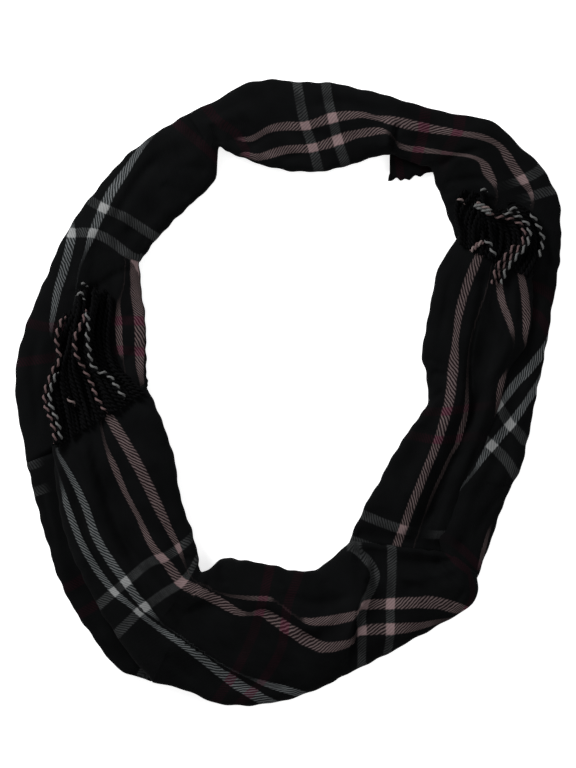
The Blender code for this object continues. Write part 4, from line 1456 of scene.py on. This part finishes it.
FLAP_LENGTHWISE = {65: [(76, 150, 8), (92, 150, 8), (112, 156, 8)]}
FLAP_CROSSWISE = {795: [(84, 182), (85, 172), (86, 160)]}
flap = Band(FLAP, 1, [], [], spacing=1.2)
flap_cloth, flap_flat = band_piece("selvage_corner", flap, FLAP_LENGTHWISE, FLAP_CROSSWISE,
                                   Ends("lip", "lip"), cloth_paint)
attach(flap_cloth, "root")
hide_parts("selvage_flap")

# %% [markdown]
# ## Fringes
# Each end's warp yarns are twisted into two-ply strands. They fan out over the turn below,
# so each strand's height is read from the cloth under it and from the strands laid before.
# Most strands are black; those that start in a stripe have a pink or white ply. A particle
# system would lay hair, not yarn, so each strand is a mesh of two plies wound on its line.

# %% Where the strands lie
Strand = namedtuple("Strand", "points colours")
ROOT_INSET = 3.5               # mm that a strand starts inside the cloth's edge
LEFT_ROOTS = ((-177.6, -40.4), (-109.2, 2.0))
LEFT_GUIDES = [
    [(-176, -39), (-179, -24), (-180, -12), (-184, -3), (-182, 9), (-176, 21), (-173, 33),
     (-172, 45), (-167, 59)],
    [(-166, -32), (-168, -17), (-171, -5), (-173, 8), (-171, 20), (-167, 32), (-165, 44),
     (-163, 56), (-160, 68)],
    [(-143, -18), (-148, -4), (-152, 9), (-157, 21), (-159, 32), (-159, 44), (-157, 55),
     (-153, 65), (-153, 81)],
    [(-129, -10), (-137, 2), (-143, 12), (-148, 22), (-151, 32), (-151, 43), (-149, 54),
     (-147, 64), (-146, 78)],
    [(-118, -3), (-127, 7), (-134, 16), (-138.5, 27), (-141, 38), (-141.5, 49), (-140, 59),
     (-138, 68), (-137, 76)],
    [(-109, 2), (-118, 9), (-127, 17), (-132.5, 29), (-135, 40), (-135.5, 50), (-134.5, 58),
     (-133.5, 64), (-132, 70)],
]
RIGHT_ROOTS = ((130.2, 116.2), (184.6, 89.0))
RIGHT_GUIDES = [
    [(130, 116), (128, 122), (125, 129), (125, 136), (127, 142), (130, 148), (133, 153)],
    [(139, 111), (137, 118), (137, 125), (139, 132), (142, 139), (146, 146), (149, 153)],
    [(149, 106), (149, 113), (149, 119), (149, 125), (148, 131), (146, 136), (142, 141)],
    [(160, 101), (162, 108), (163, 115), (163, 121), (160, 127), (155, 131), (149, 133)],
    [(172, 95), (176, 104), (179, 113), (179, 121), (174, 129), (165, 134), (155, 138)],
    [(184, 90), (190, 99), (192, 109), (192, 120), (187, 131), (179, 139), (168, 144)],
]
print(len(LEFT_GUIDES), "and", len(RIGHT_GUIDES), "guides")

# %% Strands drawn one by one, seen in the photograph
BLACK, PINKY, WHITISH, PALE = "black_yarn", "pink_yarn", "white_yarn", "pale_pink_yarn"
LEFT_SINGLES = [
    Strand([(-138.5, -14), (-145, -4), (-148.5, 5.5), (-154.5, 17.5), (-160, 28), (-161.5, 39.5),
            (-157.5, 49), (-154.5, 56.5), (-153.5, 63)], (PINKY, BLACK)),
    Strand([(-123.5, -5), (-130.5, 5.5), (-136.5, 13), (-143, 15.5), (-148.5, 21), (-150.5, 32),
            (-152, 43), (-151, 51), (-152.5, 61)], (WHITISH, BLACK)),
    Strand([(-176.5, -39), (-177, -29), (-180, -19.5), (-184, -10), (-184.5, -0.5), (-182, 7),
            (-178, 16.5), (-173, 24.5), (-174.5, 34), (-175, 41.5), (-172.5, 51), (-168.5, 58)],
           (PINKY, BLACK)),
    Strand([(-172, -36), (-173, -28), (-176, -18), (-180, -9), (-180.5, 0), (-178, 8),
            (-174.5, 15.5)], (WHITISH, BLACK)),
    Strand([(-161, 73.5), (-157.5, 75), (-153, 70)], (WHITISH, BLACK)),
    Strand([(-156.5, 81.5), (-151, 81)], (WHITISH, BLACK)),
    Strand([(-167, -4), (-164, -7.5), (-161, -10.5)], (PALE, BLACK)),
]
RIGHT_SINGLES = [
    Strand([(158, 82), (161, 92), (168.5, 102), (176.5, 111.5), (179, 120.5), (176.5, 127),
            (168.5, 131.5), (161, 132.5), (153.5, 134.5), (148, 138)], (PINKY, BLACK)),
    Strand([(162, 82), (164.5, 91), (171.5, 101), (180, 110.5), (183, 120.5), (180, 129),
            (171, 134.5), (162, 136)], (WHITISH, BLACK)),
    Strand([(155, 82), (158, 93.5), (165, 103.5), (172, 111.5)], (PINKY, BLACK)),
    Strand([(190, 103), (192.5, 110), (193.5, 117), (191.5, 123.5), (187.5, 130.5),
            (184, 136)], (BLACK, WHITISH)),
    Strand([(138.5, 106.5), (144, 112), (148.5, 114)], (PALE, PINKY)),
    Strand([(149, 115.5), (153, 112), (155, 106.5), (157.5, 102.5)], (WHITISH, BLACK)),
    Strand([(141, 141.5), (147, 138.5), (154, 134.5)], (WHITISH, WHITISH)),
    Strand([(142.5, 143), (148, 140.5), (154, 137)], (PALE, WHITISH)),
    Strand([(129, 147), (135, 143)], (PALE, BLACK)),
    Strand([(166, 138.5), (171, 139), (176, 136.5)], (WHITISH, BLACK)),
    Strand([(146, 153.5), (152, 152.5)], (WHITISH, BLACK)),
]
print(len(LEFT_SINGLES) + len(RIGHT_SINGLES), "strands drawn one by one")

# %% A fan of strands between the guides
rng = np.random.default_rng(7)
LEFT_COUNT, RIGHT_COUNT = 24, 20
UNEVEN = 0.5                   # how unevenly the strands are spread
SWAY = 3.4                     # mm that a strand may stray from its guides
SWAY_START, SWAY_BENDS = 0.1, 5.0   # share of it at the root, and radians of it to the tip
FULL_TURN = 6.3                # radians, so that the sway starts anywhere on its wave


def fan_strands(guides, roots, count, colours):
    """Strands spread evenly along the end, each bent between its two nearest guides. They
    lie on the left of the line between the roots."""
    guides = np.array(guides, float)
    first, last = np.array(roots[0]), np.array(roots[1])
    whole = last - first
    shares = ((guides[:, 0] - first) * whole).sum(1) / (whole ** 2).sum()
    strands = []
    for index in range(count):
        share = (index + 0.5 + UNEVEN * (rng.random() - 0.5)) / count
        after = int(np.clip(np.searchsorted(shares, share), 1, len(shares) - 1))
        blend = (share - shares[after - 1]) / (shares[after] - shares[after - 1])
        points = guides[after - 1] * (1 - blend) + guides[after] * blend
        points[0] -= ROOT_INSET * np.array((-whole[1], whole[0])) / np.linalg.norm(whole)
        stray = SWAY * np.linspace(SWAY_START, 1.0, len(points))[:, None]
        bends = np.linspace(0, SWAY_BENDS, len(points))
        wave = np.sin(bends + FULL_TURN * rng.random())[:, None]
        points = points + stray * wave * (rng.random(2) - 0.5) * 2
        strands.append(Strand([tuple(point) for point in points], colours))
    rng.shuffle(strands)
    return strands


left_fan = fan_strands(LEFT_GUIDES, LEFT_ROOTS, LEFT_COUNT, (BLACK, BLACK))
right_fan = fan_strands(RIGHT_GUIDES, RIGHT_ROOTS, RIGHT_COUNT, (BLACK, BLACK))
print(len(left_fan), len(right_fan), "strands in the fans")

# %% [markdown]
# ## Yarn laid on cloth
# Dropping the strands in a simulation is slow and moves them off the photograph's paths. So
# a map of heights over the cloth stands in for it: each strand lies on the map, sinks in a
# little as soft yarn does, and raises the map for the strands that cross it later.

# %% A map of heights
PLY = 1.05                     # mm, one ply's radius
TWIST = 0.95                   # mm from the strand's middle to a ply's
PITCH = 7.8                    # mm for one full turn of the two plies
STRAND_STEP = 1.1              # mm between the points of a strand's middle line
STRAND_STEPS = 24              # places worked out between two points that were drawn
BRIDGE, EVENING = 2, 3         # points each way over which a strand bridges dips and evens
RISE = 0.5                     # mm above its own middle to which a strand raises the map
SINK = 1.5                     # mm that a strand sinks into those below
CELL = 1.5                     # mm between heights of the map that strands are laid on


class Pile:
    """A map of heights over the cloth, which grows as strands are laid on it."""

    def __init__(self, tree, low, high):
        self.low = np.array(low, float)
        cells = np.ceil((np.array(high) - self.low) / CELL).astype(int) + 1
        self.height = np.zeros(cells)
        for column in range(cells[0]):
            for line in range(cells[1]):
                x, y = (self.low + (column * CELL, line * CELL)) * MM
                hit = tree.ray_cast(Vector((x, y, 0.2)), Vector((0.0, 0.0, -1.0)))
                self.height[column, line] = hit[0].z / MM if hit[0] else 0.0

    def cells_near(self, point, reach):
        centre = np.round((point - self.low) / CELL).astype(int)
        span = int(math.ceil(reach / CELL))
        low = np.maximum(centre - span, 0)
        high = np.minimum(centre + span + 1, self.height.shape)
        return slice(low[0], high[0]), slice(low[1], high[1])

    def level(self, point):
        found = self.height[self.cells_near(point, CELL)]
        return found.max() if found.size else 0.0

    def raise_to(self, point, level):
        cells = self.cells_near(point, CELL / 3)
        self.height[cells] = np.maximum(self.height[cells], level)


print("heights every", CELL, "mm")

# %% A strand's middle line
def evened(values, reach):
    """Each value as the mean of those within reach of it."""
    window = np.ones(2 * reach + 1) / (2 * reach + 1)
    padded = np.pad(values, reach, mode="edge")
    return np.convolve(padded, window, mode="valid")


def lay_strand(strand, pile):
    """The strand's middle line in space."""
    rough = dense_line(strand.points, STRAND_STEPS)
    run = distance_along(rough)
    count = max(6, int(run[-1] / STRAND_STEP))
    even = np.linspace(0.0, run[-1], count)
    plan = np.column_stack([np.interp(even, run, rough[:, 0]), np.interp(even, run, rough[:, 1])])
    levels = np.array([pile.level(point) for point in plan]) + PLY + TWIST - SINK
    bridged = np.array([levels[max(0, index - BRIDGE):index + BRIDGE + 1].max()
                        for index in range(count)])
    levels = evened(bridged, EVENING)
    for point, level in zip(plan, levels):
        pile.raise_to(point, level + RISE)
    return np.column_stack([plan, levels])


print("a strand has a point every", STRAND_STEP, "mm")

# %% Two plies round each strand's middle line
PLY_SIDES = 7
TIP_LENGTH = 2.0               # mm over which a ply tapers to its tip
TIP_LEAST = 0.02               # least share of its radius's square, at the very tip
BLUNT = 1.0                    # mm of that taper that the root leaves out


def ply_rings(line, phase):
    """Rings of points round one ply, which winds about the strand's middle line."""
    tangent = unit(np.gradient(line, axis=0))
    side = unit(np.cross(tangent, (0.0, 0.0, 1.0)))
    over = np.cross(side, tangent)
    run = distance_along(line)
    turn = phase + 2 * math.pi * run / PITCH
    middle = line + TWIST * (np.cos(turn)[:, None] * side + np.sin(turn)[:, None] * over)
    from_tip = np.minimum(run + BLUNT, run[-1] - run)
    radius = PLY * np.sqrt(np.clip(from_tip / TIP_LENGTH, TIP_LEAST, 1.0))
    around = np.linspace(0, 2 * math.pi, PLY_SIDES + 1)
    outward = np.cos(around)[None, :, None] * side[:, None]
    outward = outward + np.sin(around)[None, :, None] * over[:, None]
    return middle[:, None] + radius[:, None, None] * outward


def add_ply(bundle, rings, material):
    """A grid bent into a tube, with its seam merged."""
    before = len(bundle.faces)
    made = bmesh.ops.create_grid(bundle, x_segments=PLY_SIDES, y_segments=len(rings) - 1,
                                 size=1.0)["verts"]
    for vert, point in zip(made, rings.reshape(-1, 3)):
        vert.co = point * MM
    seam = [made[row * (PLY_SIDES + 1) + side] for row in range(len(rings))
            for side in (0, PLY_SIDES)]
    bmesh.ops.remove_doubles(bundle, verts=seam, dist=0.001 * MM)
    bundle.faces.ensure_lookup_table()
    for face in bundle.faces[before:]:
        face.material_index = material
        face.smooth = True


print(PLY_SIDES, "sides to a ply")

# %% A fringe's piece
def strand_piece(name, strands, pile):
    """All the strands of one fringe in one mesh, one material for each yarn."""
    bundle = bmesh.new()
    names = list(YARNS)
    for strand in strands:
        line = lay_strand(strand, pile)
        start = 2 * math.pi * rng.random()
        for ply, colour in enumerate(strand.colours):
            add_ply(bundle, ply_rings(line, start + ply * math.pi), names.index(colour))
    holes = [edge for edge in bundle.edges if edge.is_boundary]
    bmesh.ops.holes_fill(bundle, edges=holes, sides=PLY_SIDES + 1)
    bmesh.ops.recalc_face_normals(bundle, faces=bundle.faces)
    mesh = mesh_from(bundle, name)
    for yarn in names:
        mesh.materials.append(yarn_paints[yarn])
    piece = add_object(name, mesh)
    print(name, len(strands), "strands", len(mesh.polygons) * 2, "triangles")
    return piece


def cloth_tree(*pieces):
    """The skins of several pieces as one tree that rays can be sent at."""
    verts, faces = [], []
    for piece in pieces:
        start = len(verts)
        verts += [vert.co for vert in piece.data.vertices]
        faces += [[start + index for index in face.vertices] for face in piece.data.polygons]
    return BVHTree.FromPolygons(verts, faces)


print("yarns:", *YARNS)

# %% Left fringe
left_pile = Pile(cloth_tree(turn_cloth, lower_cloth), (-205, -60), (-95, 95))
left_fringe = strand_piece("left_twisted_fringe", left_fan + LEFT_SINGLES, left_pile)
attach(left_fringe, "root")
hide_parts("left_fringe")

# %% Right fringe
right_pile = Pile(cloth_tree(turn_cloth, end_cloth), (110, 70), (215, 170))
right_fringe = strand_piece("right_twisted_fringe", right_fan + RIGHT_SINGLES, right_pile)
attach(right_fringe, "root")
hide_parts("right_fringe")
